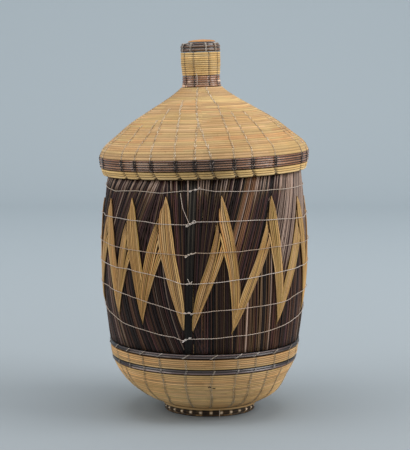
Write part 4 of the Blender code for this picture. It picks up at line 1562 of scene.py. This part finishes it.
        # Painted sheen: in the upper family, many rods on the right side turn pale in hue and middling in
        # tone, more so higher up.
        away = smoothstep((front - 46.0) / 10.0) * smoothstep((100.0 - front) / 20.0)
        painted_sheen = (rng.uniform(0.0, 1.0, count) < 0.82 * away)[:, None] * above
        painted_sheen = painted_sheen * smoothstep((height - 0.1) / 0.02)
        pale = RodKind.PALE.value
        hue = hue + (pale - 0.02 - hue) * painted_sheen
        tone = tone + (0.55 - tone) * 0.8 * painted_sheen
        # Painted highlights: near the rods' upper ends, about four rods in ten are lit, pale and lighter, and
        # the rest are darkened between them.
        lit = (rng.uniform(0.0, 1.0, count) < 0.42)[:, None]
        crown = smoothstep((height - 0.148) / 0.018)
        hue = np.where(lit & (hue < pale), hue + (pale - hue) * crown, hue)
        tone = tone + np.where(lit, 0.34, -0.14) * crown
        if above:
            grouped = (middle > self.orange[0]) & (middle < self.orange[1])
            grouped &= rng.uniform(0.0, 1.0, count) < 0.6
            hue = np.where(grouped[:, None] & (height > 0.116), RodKind.ORANGE.value, hue)
        return np.clip(tone, 0.0, 1.0), np.clip(hue, 0.0, 1.0)

    def _seam(self) -> None:
        """Builds the bundle of straight rods over the joint of the mat."""
        form = self.form
        mesh = StrandMesh(self.seed + 1)
        height = np.linspace(form.rod_foot + 0.0002, form.shoulder - 0.0004, 14)[None]
        offset = np.linspace(-1.0, 1.0, len(self.seam_glints))[:, None] * (form.seam_width / 2.0 - 0.0004)
        offset = offset + mesh.rng.normal(0.0, 0.00008, offset.shape)
        azimuth = form.seam(height) + np.degrees(offset / form.shoulder_radius)
        proud = 0.0001 + 0.0002 * np.cos(offset / form.seam_width * math.pi)
        radius = form.rod_surface(height) - self.seam_depth + proud
        glint = np.array(self.seam_glints)[:, None]
        fade = 0.3 + 0.7 * smoothstep((height - 0.085) / 0.05)
        mesh.add_tubes(form.lean(around(radius, azimuth, height)), around(1.0, azimuth, 0.0), 0.0005,
                       self.seam_depth, (0.2 + 0.5 * glint) * fade, glint * fade, sides=8)
        dress(mesh.build("seam_bundle"), "basket", GREY_ROD, "seam_rods")

    def _golden_bands(self) -> None:
        """Builds each band of the zigzag, plaited through its neighbours rod by rod."""
        bands = self.zigzag.bands()
        for index, band in enumerate(bands):
            right = index % 2 == 0
            partner = bands[index + 1 if right else index - 1]
            valley_partner = bands[(index + 3) % len(bands) if right else index - 3]
            mesh = StrandMesh(self.seed * 100 + index)
            self._add_band(mesh, index, band, partner, valley_partner)
            name = f"gold_band_{index + 1:02d}"
            dress(mesh.build(name.replace("gold_band", "gold_plait")), "basket", GOLDEN_ROD, name)

    def _add_band(self, mesh: StrandMesh, index: int, band: tuple[float, float],
                  partner: tuple[float, float], valley_partner: tuple[float, float]) -> None:
        """Adds the rods of one band.

        The right band makes the peak's tip and the left one comes out from under it, rod by rod,
        with a slit before its last ones. The right band's last rod comes out from under the left
        one. At the valley the right band passes under the left one.

        Args:
            mesh: Mesh that takes them.
            index: Number of the band.
            band: Azimuths of its peak and valley.
            partner: The other band of its peak.
            valley_partner: The other band of its valley.
        """
        form, zigzag, rng = self.form, self.zigzag, mesh.rng
        right = index % 2 == 0
        side = 1.0 if right else -1.0
        top, bottom, _ = zigzag.ends(*band)
        samples = np.linspace(top, bottom, 240)
        share = np.linspace(0.0, 1.0, self.gold_steps)
        peak_border = zigzag.course(*partner, samples, side)
        valley_border = zigzag.course(*valley_partner, samples, 1.0 if right else -0.5)
        paths, outward, widths, tones = [], [], [], []
        for rod, across in enumerate(np.linspace(1.0, -1.0, self.gold_rods)):
            own = zigzag.course(*band, samples, across)
            free = samples[np.argmax(side * wrapped(own - peak_border) > 0.0)]
            hit = (samples < (top + bottom) / 2.0) & (side * wrapped(own - valley_border) > 0.0)
            ends_under = bool(hit.any()) and (right or across > -0.4)
            finish = samples[np.argmax(hit)] - 0.0022 if ends_under else bottom
            if rod == self.slit_rod:
                opened = free
            aside = -side * np.radians(own - band[0]) * form.shoulder_radius
            reached = samples[np.argmax(top - samples >= zigzag.tip_slope * aside)]
            begin = min(free + (0.0026 if right else 0.0004), reached + 0.001 - 0.0006 * (1.0 - across))
            if right and rod == self.gold_rods - 1:
                begin = top - zigzag.inner_drop
            if begin - finish < self.gold_shortest:
                continue
            height = begin + (finish - begin) * share
            under = smoothstep((top - begin) / 0.004)
            tuck = smoothstep(1.0 - (begin - height) / 0.005) * (0.35 + 0.65 * under)
            tuck = tuck + smoothstep(1.0 - (height - finish) / 0.0045) * (1.0 if ends_under else 0.5)
            azimuth = zigzag.course(*band, height, across)
            if rod >= self.slit_rod and not right:
                opening = self.slit * np.exp(-np.maximum(opened - height, 0.0) / 0.009)
                azimuth = azimuth + np.degrees(opening / form.shoulder_radius)
            near, far = min(across + 0.125, 1.0), max(across - 0.125, -1.0)
            spacing = np.abs(zigzag.course(*band, height, near) - zigzag.course(*band, height, far))
            spacing = np.radians(spacing) * form.shoulder_radius * 2.0 / (self.gold_rods - 1) / (near - far)
            level = form.gap + zigzag.thickness / 2.0 + (0.00012 if right else 0.0)
            radius = form.rod_surface(height) + level - 0.0008 * tuck - rng.uniform(0.0, 0.00012)
            paths.append(around(radius, azimuth, height))
            outward.append(around(1.0, azimuth, 0.0))
            widths.append(np.clip(spacing * 0.52, 0.00022, 0.0009)
                          * (1.0 - 0.3 * np.clip(tuck, 0.0, 1.0)) * rng.uniform(0.92, 1.06))
            # Painted shade: the tone falls where the rod tucks under its neighbours.
            tones.append(np.clip(0.66 + rng.normal(0.0, 0.17) - 0.4 * tuck, 0.0, 1.0))
        mesh.add_tubes(np.array(paths), np.array(outward), np.array(widths), self.gold_depth,
                       np.array(tones), rng.uniform(0.0, 1.0, len(paths)), sides=7, first=index * 16)


@dataclass(frozen=True)
class Knot:
    """How one thread is tied at the seam: a lump, its loops and its loose ends.

    Each loop is (across, up, radius) and each end is (across, up, across at its tip, up at its
    tip), in millimetres from the middle of the seam.
    """

    lumps: tuple[tuple[float, float], ...]
    loops: tuple[tuple[float, float, float], ...] = ()
    ends: tuple[tuple[float, float, float, float], ...] = ()


@dataclass
class Threads:
    """The six threads drawn around the rods, each twisted from two plies and knotted."""

    form: BasketForm
    zigzag: Zigzag
    courses: tuple[tuple[float, float, bool], ...] = (
        (0.932, 0.005, False), (0.761, 0.0, True), (0.618, 0.034, True), (0.498, 0.081, True),
        (0.37, 0.12, True), (0.254, 0.162, False))
    knots: tuple[Knot, ...] = (
        Knot(lumps=((-1.6, -0.2), (1.8, 0.8)), ends=((1.8, 0.8, 4.6, 2.6),)),
        Knot(lumps=((-2.6, -1.6), (-0.6, -0.4), (1.0, 0.4)), loops=((2.0, 1.2, 0.9),)),
        Knot(lumps=((-2.4, -1.2), (-0.8, -0.2), (0.9, 0.5)),
             ends=((0.9, 0.5, 3.6, 1.6), (-2.4, -1.2, -3.0, -1.9))),
        Knot(lumps=((-1.0, -0.2), (0.6, 0.2)), ends=((0.2, 0.6, 1.9, 1.8), (0.2, 0.6, -0.8, 3.2))),
        Knot(lumps=((-2.0, 0.0), (0.4, 0.4), (2.2, -0.4))),
        Knot(lumps=((-2.8, -1.4), (-1.6, -0.6), (1.2, 0.6)), ends=((-2.8, -1.4, -3.9, -2.3),)))
    wanders: tuple[Reach, ...] = (
        ((-90, 0.0), (-61, -2.4), (-42, -0.5), (-24, -0.8), (-11.5, 1.0), (-9, 0.8), (-2.5, 2.4), (6.3, 0.9),
         (27, 0.4), (90, 0.0)),
        ((-90, 0.0), (-54, -0.3), (-38, -0.6), (-25, -1.4), (-15, -1.7), (-10.5, -1.8), (-5.5, 0.0),
         (5, 0.7), (26, 0.6), (45, 0.0), (73, -1.6), (95, 0.0)),
        ((-90, 0.0), (-58, -0.9), (-38, -0.9), (-21, -1.1), (-11.5, -1.3), (-10, -1.5), (-4.7, 0.5),
         (19.5, 1.1), (38, 2.1), (75, 0.3), (90, 0.0)),
        ((-90, 0.5), (-54, 2.0), (-44, 3.4), (-29.6, 2.5), (-20.6, 1.5), (-12, -1.1), (-4.4, -0.7),
         (16.5, 1.6), (38, 3.2), (75, 1.4), (110, 0.0)),
        ((-110, 0.0), (-61, 2.5), (-53, 2.8), (-39, 2.8), (-28.6, 1.6), (-18.5, -0.3), (-11.5, -1.8),
         (-6.6, -1.4), (4.5, 0.8), (23, 1.5), (47, 0.3), (75, 0.7), (110, 0.0)),
        ((-90, 0.0), (-61, -1.4), (-52, -2.2), (-38, -1.4), (-25.6, -1.3), (-17, -1.2), (-12.6, -2.7),
         (-8.8, -1.0), (-2, -0.2), (19.5, 1.1), (44, 0.0), (90, 0.0)))
    ply: float = 0.000155
    twist: float = 0.0032
    steps_each_turn: int = 8
    ease_steps: int = 25
    seed: int = 47

    def build(self) -> None:
        """Builds every thread with its knot."""
        for number, (course, knot) in enumerate(zip(self.courses, self.knots), start=1):
            mesh = StrandMesh(self.seed + number)
            level = self._add_thread(mesh, course, self.wanders[number - 1])
            self._add_knot(mesh, knot, level, course[2])
            if number == 1:
                self._add_loose(mesh)
            dress(mesh.build(f"tie_cord_{number}"), "basket", TIE_THREAD, f"tie_thread_{number}")

    def _add_thread(self, mesh: StrandMesh, course: tuple[float, float, bool], wander: Reach) -> float:
        """Adds the two plies of a thread all the way around.

        Args:
            mesh: Mesh that takes them.
            course: Its place at the back, its droop, and whether it crosses the golden bands.
            wander: Azimuths at the front and how many millimetres it strays up or down there.

        Returns:
            The thread's height at the seam.
        """
        form = self.form
        place, droop, over = course
        turns = round(math.tau * form.shoulder_radius / self.twist)
        count = turns * self.steps_each_turn
        azimuth = form.seam_azimuth + np.arange(count) * 360.0 / count
        stray = np.interp(wrapped(azimuth), *zip(*wander)) / 1000.0
        level = form.rod_foot + form.rod_length * (place - droop * form.front_weight(azimuth)) + stray
        height = level + ripple(mesh.rng, azimuth, 0.00012, (9, 14, 23))
        lift = self.zigzag.cover(azimuth, height) if over else np.zeros(count)
        reach = self.ease_steps // 2
        padded = np.concatenate([lift[-reach:], lift, lift[:reach]])
        widest = np.max(np.lib.stride_tricks.sliding_window_view(padded, self.ease_steps), axis=1)
        padded = np.concatenate([widest[-reach:], widest, widest[:reach]])
        window = np.hanning(self.ease_steps)
        eased = np.convolve(padded, window / window.sum(), mode="valid")
        centre = form.rod_surface(height) + eased + 2.0 * self.ply + 0.00005
        phase = np.arange(count) / self.steps_each_turn * math.tau
        for start in (0.0, math.pi):
            out, up = (way(phase + start) * self.ply * 0.92 for way in (np.cos, np.sin))
            path = form.lean(around(centre + out, azimuth, height + up))
            mesh.add_tubes(path[None], around(1.0, azimuth, 0.0), self.ply, self.ply,
                           mesh.rng.uniform(0.35, 0.65), mesh.rng.uniform(0.0, 1.0), sides=4, closed=True)
        return float(level[0])

    def _spots(self, across: Array, up: Array, out: Array, level: float) -> Array:
        """Points near the seam.

        Args:
            across: Millimetres to the right of its middle.
            up: Millimetres above the level.
            out: Millimetres out of the rods' surface.
            level: Height of the thread at the seam.

        Returns:
            The points.
        """
        height = level + up / 1000.0
        azimuth = self.form.seam(level) + np.degrees(across / 1000.0 / self.form.shoulder_radius)
        return around(self.form.rod_surface(height) + out / 1000.0, azimuth, height)

    def _add_knot(self, mesh: StrandMesh, knot: Knot, level: float, over: bool) -> None:
        """Adds a knot's turns, loops and loose ends.

        Args:
            mesh: Mesh that takes them.
            knot: How the thread is tied.
            level: Height of the thread at the seam.
            over: Whether the thread crosses the golden bands.
        """
        rest = 0.9 if over else 0.7
        outward = self._spots(0.0, 0.0, 1000.0, level)
        strands: list[Array] = []
        for across, up in knot.lumps:
            turn = np.linspace(0.0, 2.0 * math.tau, 20)
            tilt = mesh.rng.uniform(0.4, 0.9)
            strands.append(self._spots(across + 0.45 * np.cos(turn) + 0.08 * turn - 0.5,
                                       up + tilt * 0.45 * np.cos(turn) + 0.36 * np.sin(turn),
                                       rest + 0.36 * np.sin(turn), level))
        for across, up, size in knot.loops:
            turn = np.linspace(0.0, math.tau * 0.93, 18) - 0.7
            strands.append(self._spots(across + size * np.cos(turn), up + size * np.sin(turn),
                                       rest + 0.25 * np.sin(turn), level))
        share = np.linspace(0.0, 1.0, 12)
        arch = np.sin(math.pi * share)
        for across, up, tip_across, tip_up in knot.ends:
            strands.append(self._spots(across + (tip_across - across) * share + 0.35 * arch,
                                       up + (tip_up - up) * share - 0.35 * arch,
                                       rest + 0.5 * arch + 0.2 * share, level))
        ply = self.ply * 1.15
        for path in strands:
            mesh.add_tubes(path[None], outward, ply, ply, mesh.rng.uniform(0.8, 1.0), 1.0)

    def _add_loose(self, mesh: StrandMesh) -> None:
        """Adds the thin loose strand that hangs from the top thread down to the next one's knot.

        Args:
            mesh: Mesh that takes it.
        """
        form = self.form
        top, bottom = (form.rod_foot + form.rod_length * course[0] for course in self.courses[:2])
        share = np.linspace(0.0, 1.0, 16)
        height = top + (bottom - top) * share - 0.001
        azimuth = form.seam(top) + np.interp(share, [0.0, 0.5, 1.0], [-6.8, -5.2, -1.6])
        radius = form.rod_surface(height) + 0.0004 + 0.0002 * np.sin(math.pi * share)
        mesh.add_tubes(around(radius, azimuth, height)[None], around(1.0, azimuth, 0.0), 0.00018, 0.00018,
                       mesh.rng.uniform(0.6, 0.8), 0.5, sides=5)


# Lid

@dataclass
class Lid:
    """The coiled lid: scalloped rim, dark band, cone and knob."""

    form: LidForm
    cone_pitch: float = 0.002
    front_courses: tuple[tuple[tuple[float, float], ...], ...] = (
        ((0, -71.5), (0.4, -73)),
        ((0, -49.2), (0.19, -51.5), (0.42, -54)),
        ((0, -39.2), (0.33, -39.3), (0.5, -42)),
        ((0, -28.5), (0.16, -30.2), (0.37, -33), (0.52, -36.8), (0.68, -41)),
        ((0, -14.8), (0.36, -18), (0.56, -21.5), (0.82, -31)),
        ((0, -4.8), (0.29, -4.5), (0.44, -3.2), (0.89, -9.2), (1, -10)),
        ((0, 4), (0.15, 2), (0.31, -0.5), (0.44, -3)),
        ((0, 15.8), (0.49, 17.2), (0.72, 19.5), (0.88, 15.8), (1, 12)),
        ((0, 26.2), (0.46, 27.8), (0.6, 30)),
        ((0, 40.8), (0.46, 43), (0.6, 45)),
        ((0, 65.8), (0.5, 68)))
    line_count: int = 30
    hidden_stops: tuple[float, ...] = (0.45, 0.6, 1)
    # Painted light: the rim and the dark band are lighter towards both sides, most on the right where the key
    # lamp stands, and darker at the front.
    edge_painted_light: Reach = ((-180, 0), (-90, 0.4), (-50, 0.3), (-20, 0), (5, -0.22),
                         (18, 0.1), (40, 0.66), (90, 0.75), (180, 0))
    # Painted shade: the cone's tone is lowered at the front.
    cone_painted_shade: Reach = ((-60, 0), (-15, -0.2), (15, -0.2), (45, 0))
    knob_lines: tuple[float, ...] = (-90, -55, -21, 25, 60, 96, 132, 168, 204, 238)
    head_turn: float = -8.0
    cap_inset: float = 0.0012
    cap_shift: float = 0.0012
    seed: int = 71

    def __post_init__(self) -> None:
        """Adds the lines of stitches of the far side."""
        fronts = [course[0][1] for course in self.front_courses]
        rng = np.random.default_rng(self.seed)
        hidden = spread_lines(fronts, self.line_count, rng)[len(fronts):]
        self.lines = list(self.front_courses)
        for index, azimuth in enumerate(hidden):
            stop = self.hidden_stops[index % len(self.hidden_stops)]
            self.lines.append(((0.0, azimuth), (stop, azimuth + rng.uniform(-5.0, 5.0))))

    def build(self) -> None:
        """Builds every piece of the lid."""
        self._edge()
        self._cone()
        self._knob()

    def _edge(self) -> None:
        """Builds the scalloped rim and the dark band above it."""
        form = self.form
        half = form.basket.gap / 2.0
        azimuths = [line[0][1] for line in self.lines]
        height = np.linspace(2.0 * half, form.rim_height - half, 60)
        throat = form.basket.shoulder_radius - form.basket.rod_depth - 2.0 * half + form.neck_clearance
        rim = CoiledWall(Outline(form.edge_radius(height), height), Outline(np.full(60, throat), height),
                         form.rim_height / 3.0, 0.00065, straight_lines(azimuths, -1.8), pinch=0.0012,
                         pinch_width=0.001, hem=0.0012, steps=420, shape=RowShape.ROUND, seam_shade=0.8,
                         spot=0.38, tone=(0.3, 0.75), painted_light=self.edge_painted_light, place=form.place)
        stroke = Stroke(sides=(0.0,), width=0.00018, rise=0.0001, tone=(0.0, 0.5))
        sew("rim_coils", "lid", "lid_rim", rim, RIM_STRAW, stroke, SEWING_STRAND, self.seed)

        height = np.linspace(form.rim_height + half, form.band_top - half, 60)
        radius = form.edge_radius(height)
        band = CoiledWall(Outline(radius + 0.0003, height), Outline(radius - form.wall, height),
                          form.band_height / 5.0, 0.0008, straight_lines(azimuths), pinch=0.0006,
                          steps=420, shape=RowShape.CORD, seam_shade=1.0, spot=0.4, tone=(0.15, 1.0),
                          painted_light=self.edge_painted_light, place=form.place)
        stroke = Stroke(rise=0.0004, slant=0.001, tone=(0.0, 0.9))
        sew("lid_band_coils", "lid", "lid_dark_band", band, DARK_COIL, stroke, BAND_STITCH, self.seed)

    def _cone(self) -> None:
        """Builds the cone, whose lines of stitches run up and end one by one."""
        form = self.form
        outer = form.cone_outline()
        cone = CoiledWall(outer, outer.inset(form.wall), self.cone_pitch, 0.00036, self.lines, pinch=0.0001,
                          pinch_width=0.0008, wander=0.0003, steps=288, shape=RowShape.ROUND,
                          seam_shade=0.85, spot=0.03, pieces=9, uneven=0.75, draw_shade=0.3,
                          painted_light=self.cone_painted_shade, place=form.place)
        stroke = Stroke(spacing=0.00038, slant=0.0006, width=0.00021, rise=0.00012, jitter=0.00018,
                        tone=(0.2, 1.0))
        sew("cone_coils", "lid", "lid_cone", cone, NATURAL_STRAW, stroke, CONE_STITCH, self.seed)

    def _knob(self) -> None:
        """Builds the knob between its two dark bands, and the small coil that closes it."""
        form = self.form
        half = form.basket.gap / 2.0
        foot = form.cone_top
        sleeve, crown = foot + form.knob_band, foot + form.knob_band + form.knob_natural
        top = crown + form.knob_top
        full, slim = form.knob_radius, form.knob_radius - form.knob_waist
        bore = full - form.knob_wall

        belts = (
            ("knob_foot_coils", "knob_base_band", foot, sleeve, (full, slim, slim), 0.00154, 0.0004,
             (0.6, 1.0), DARK_COIL, Stroke(sides=(0.0,), tone=(0.2, 0.9)), BAND_STITCH),
            ("knob_sleeve_coils", "knob_sleeve", sleeve, crown, (slim, full, full), 0.0015, 0.00038,
             (0.55, 1.0), RIM_STRAW, Stroke(sides=(0.0,), width=0.0002, rise=0.0001, tone=(0.2, 0.8)),
             SEWING_STRAND))
        for name, node, low, high, radii, pitch, relief, tone, finish, stroke, thread in belts:
            height = np.linspace(low + half, high - half, 60)
            outer = Outline(np.interp(height, np.linspace(low, high, 3), radii), height)
            belt = CoiledWall(outer, Outline(np.full(60, bore), height), pitch, relief,
                              straight_lines(self.knob_lines), pinch=0.0005, pinch_width=0.0008, steps=132,
                              shape=RowShape.ROUND, seam_shade=0.8, spot=0.16, tone=tone, place=form.place)
            sew(name, "lid", node, belt, finish, stroke, thread, self.seed)

        height = np.linspace(crown + half, top, 80)
        share = np.clip((height - (top - form.knob_round)) / form.knob_round, 0.0, 1.0)
        radius = full - form.knob_round * (1.0 - np.sqrt(1.0 - (share * 0.98) ** 2))
        head = CoiledWall(Outline(radius, height), Outline(np.full(80, bore - form.knob_wall), height),
                          0.00215, 0.0007, straight_lines(self.knob_lines, turn=self.head_turn),
                          pinch=0.0006, pinch_width=0.0009, steps=132, shape=RowShape.CORD,
                          seam_shade=0.9, tone=(0.0, 0.42), place=form.place)
        stroke = Stroke(spacing=0.0004, slant=0.0, width=0.0003, rise=0.0004, tone=(0.6, 1.0))
        sew("knob_head_coils", "lid", "knob_top_band", head, DARK_COIL, stroke, RING_STITCH, self.seed)
        self._cap(top + form.basket.gap)
        self._loose_end(foot, sleeve)

    def _cap(self, base: float) -> None:
        """Builds the small domed coil that closes the knob.

        Args:
            base: Height of its underside.
        """
        form = self.form
        edge = form.knob_radius - form.knob_round - self.cap_inset
        share = np.linspace(0.0, 1.0, 60)
        radius = edge * np.cos(share * math.pi / 2.0 * 0.985)
        height = base + form.cap_height * np.sin(share * math.pi / 2.0) ** 0.8
        # Each point once, because an outline has no direction where two of its points coincide
        under = np.unique(np.maximum(radius - 0.0004, 0.0001))[::-1]
        inner = Outline(under, np.full(len(under), base))
        cap = CoiledWall(Outline(radius, height), inner, 0.0013, 0.00018, inner_pitch=0.003,
                         inner_relief=0.0, steps=72, place=self._place_cap)
        mesh = StrandMesh(self.seed)
        cap.add_to(mesh)
        dress(mesh.build("knob_cap_coil"), "lid", CAP_STRAW, "knob_cap")

    def _place_cap(self, points: Array) -> Array:
        """Moves the cap's points to where it sits, a little to the right of the knob's middle."""
        return self.form.place(points + np.array([self.cap_shift, 0.0, 0.0]))

    def _loose_end(self, low: float, high: float) -> None:
        """Builds the pale loose strand that hangs over the knob's foot at the front.

        Args:
            low: Height of the knob foot's lower edge.
            high: Height of its upper edge.
        """
        form = self.form
        share = np.linspace(0.0, 1.0, 16)
        height = high + 0.0016 + (low - high - 0.0004) * share
        azimuth = -13.0 + 3.0 * share + 1.0 * np.sin(share * 5.0)
        radius = form.knob_radius + 0.0003 + 0.0003 * np.sin(math.pi * share)
        mesh = StrandMesh()
        mesh.add_tubes(form.place(around(radius, azimuth, height))[None], around(1.0, azimuth, 0.0), 0.00024,
                       0.0002, 0.9, 0.5)
        dress(mesh.build("knob_loose_strand"), "lid", RING_STITCH)


# Room, lamps and camera

@dataclass
class Studio:
    """Plain sweep, soft lamps and the camera at the photograph's angle."""

    camera_place: Triple = (0.0, -1.03, 0.2504)
    aim: Triple = (0.00035, 0.0, 0.1314)
    lens: float = 117.6
    floor_colour: Screen = (147, 154, 159)
    backdrop_colour: Screen = (184, 196, 204)
    lamps: tuple[tuple[str, Triple, float, float], ...] = (
        ("key_lamp", (1.4, -0.35, 1.0), 1.1, 18.0), ("fill_lamp", (-1.4, -0.4, 1.0), 1.2, 10.0),
        ("top_lamp", (0.0, -0.1, 1.7), 1.4, 13.0))

    def build(self) -> None:
        """Sets up everything around the basket."""
        self._sweep()
        for name, place, size, power in self.lamps:
            lamp = bpy.data.lights.new(name, "AREA")
            lamp.size, lamp.energy = size, power
            self._aim(name, lamp, place)
        world = bpy.data.worlds.new("room")
        bpy.context.scene.world = world
        world.use_nodes = True
        background = world.node_tree.nodes["Background"]
        background.inputs["Color"].default_value = (1.0, 0.99, 0.97, 1.0)
        background.inputs["Strength"].default_value = 0.5
        bpy.context.scene.view_settings.view_transform = "Standard"
        camera = bpy.data.cameras.new("portrait_camera")
        camera.lens = self.lens
        bpy.context.scene.camera = self._aim("portrait_camera", camera, self.camera_place)

    def _sweep(self) -> None:
        """Builds the floor that curves up into the backdrop."""
        bend, depth, back, width, height = 0.6, 2.0, 1.4, 5.0, 3.0
        turn = np.linspace(0.0, math.pi / 2.0, 24)
        ys = np.concatenate([[-depth], back + bend * np.sin(turn), [back + bend]])
        zs = np.concatenate([[0.0], bend * (1.0 - np.cos(turn)), [height]])
        vertices = [(x, y, z) for y, z in zip(ys, zs) for x in (-width, width)]
        faces = [(2 * i, 2 * i + 1, 2 * i + 3, 2 * i + 2) for i in range(len(ys) - 1)]
        mesh = bpy.data.meshes.new("studio_sweep")
        mesh.from_pydata(vertices, [], faces)
        mesh.shade_smooth()
        sweep = bpy.data.objects.new("studio_sweep", mesh)
        bpy.context.scene.collection.objects.link(sweep)
        material = bpy.data.materials.new("studio_paper")
        material.use_nodes = True
        nodes = Nodes(material.node_tree)
        place = nodes.add("ShaderNodeSeparateXYZ", {0: nodes.add("ShaderNodeTexCoord").outputs["Object"]})
        far = nodes.ranged(place.outputs[1], (-0.6, 1.5), way="SMOOTHSTEP")
        paper = nodes.mix(far, paint(self.floor_colour), paint(self.backdrop_colour))
        nodes.finish({"Base Color": paper, "Roughness": 0.9, "Specular IOR Level": 0.1})
        mesh.materials.append(material)

    def _aim(self, name: str, data: bpy.types.ID, place: Triple) -> bpy.types.Object:
        """Stands a lamp or the camera up so that it faces the basket.

        Args:
            name: Name of the object.
            data: The lamp or the camera.
            place: Where it stands.

        Returns:
            The new object.
        """
        made = bpy.data.objects.new(name, data)
        made.location = place
        made.rotation_euler = (Vector(self.aim) - Vector(place)).to_track_quat("-Z", "Y").to_euler()
        bpy.context.scene.collection.objects.link(made)
        return made


def main() -> None:
    """Dresses the basket, lights it and logs each piece's faces."""
    logging.basicConfig(level=logging.INFO, format="%(name)s: %(message)s")
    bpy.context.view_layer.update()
    form = BasketForm()
    zigzag = Zigzag(form)
    for part in (Bowl(form), Barrel(form, zigzag), Threads(form, zigzag), Lid(LidForm(form)), Studio()):
        part.build()


if __name__ == "__main__":
    main()
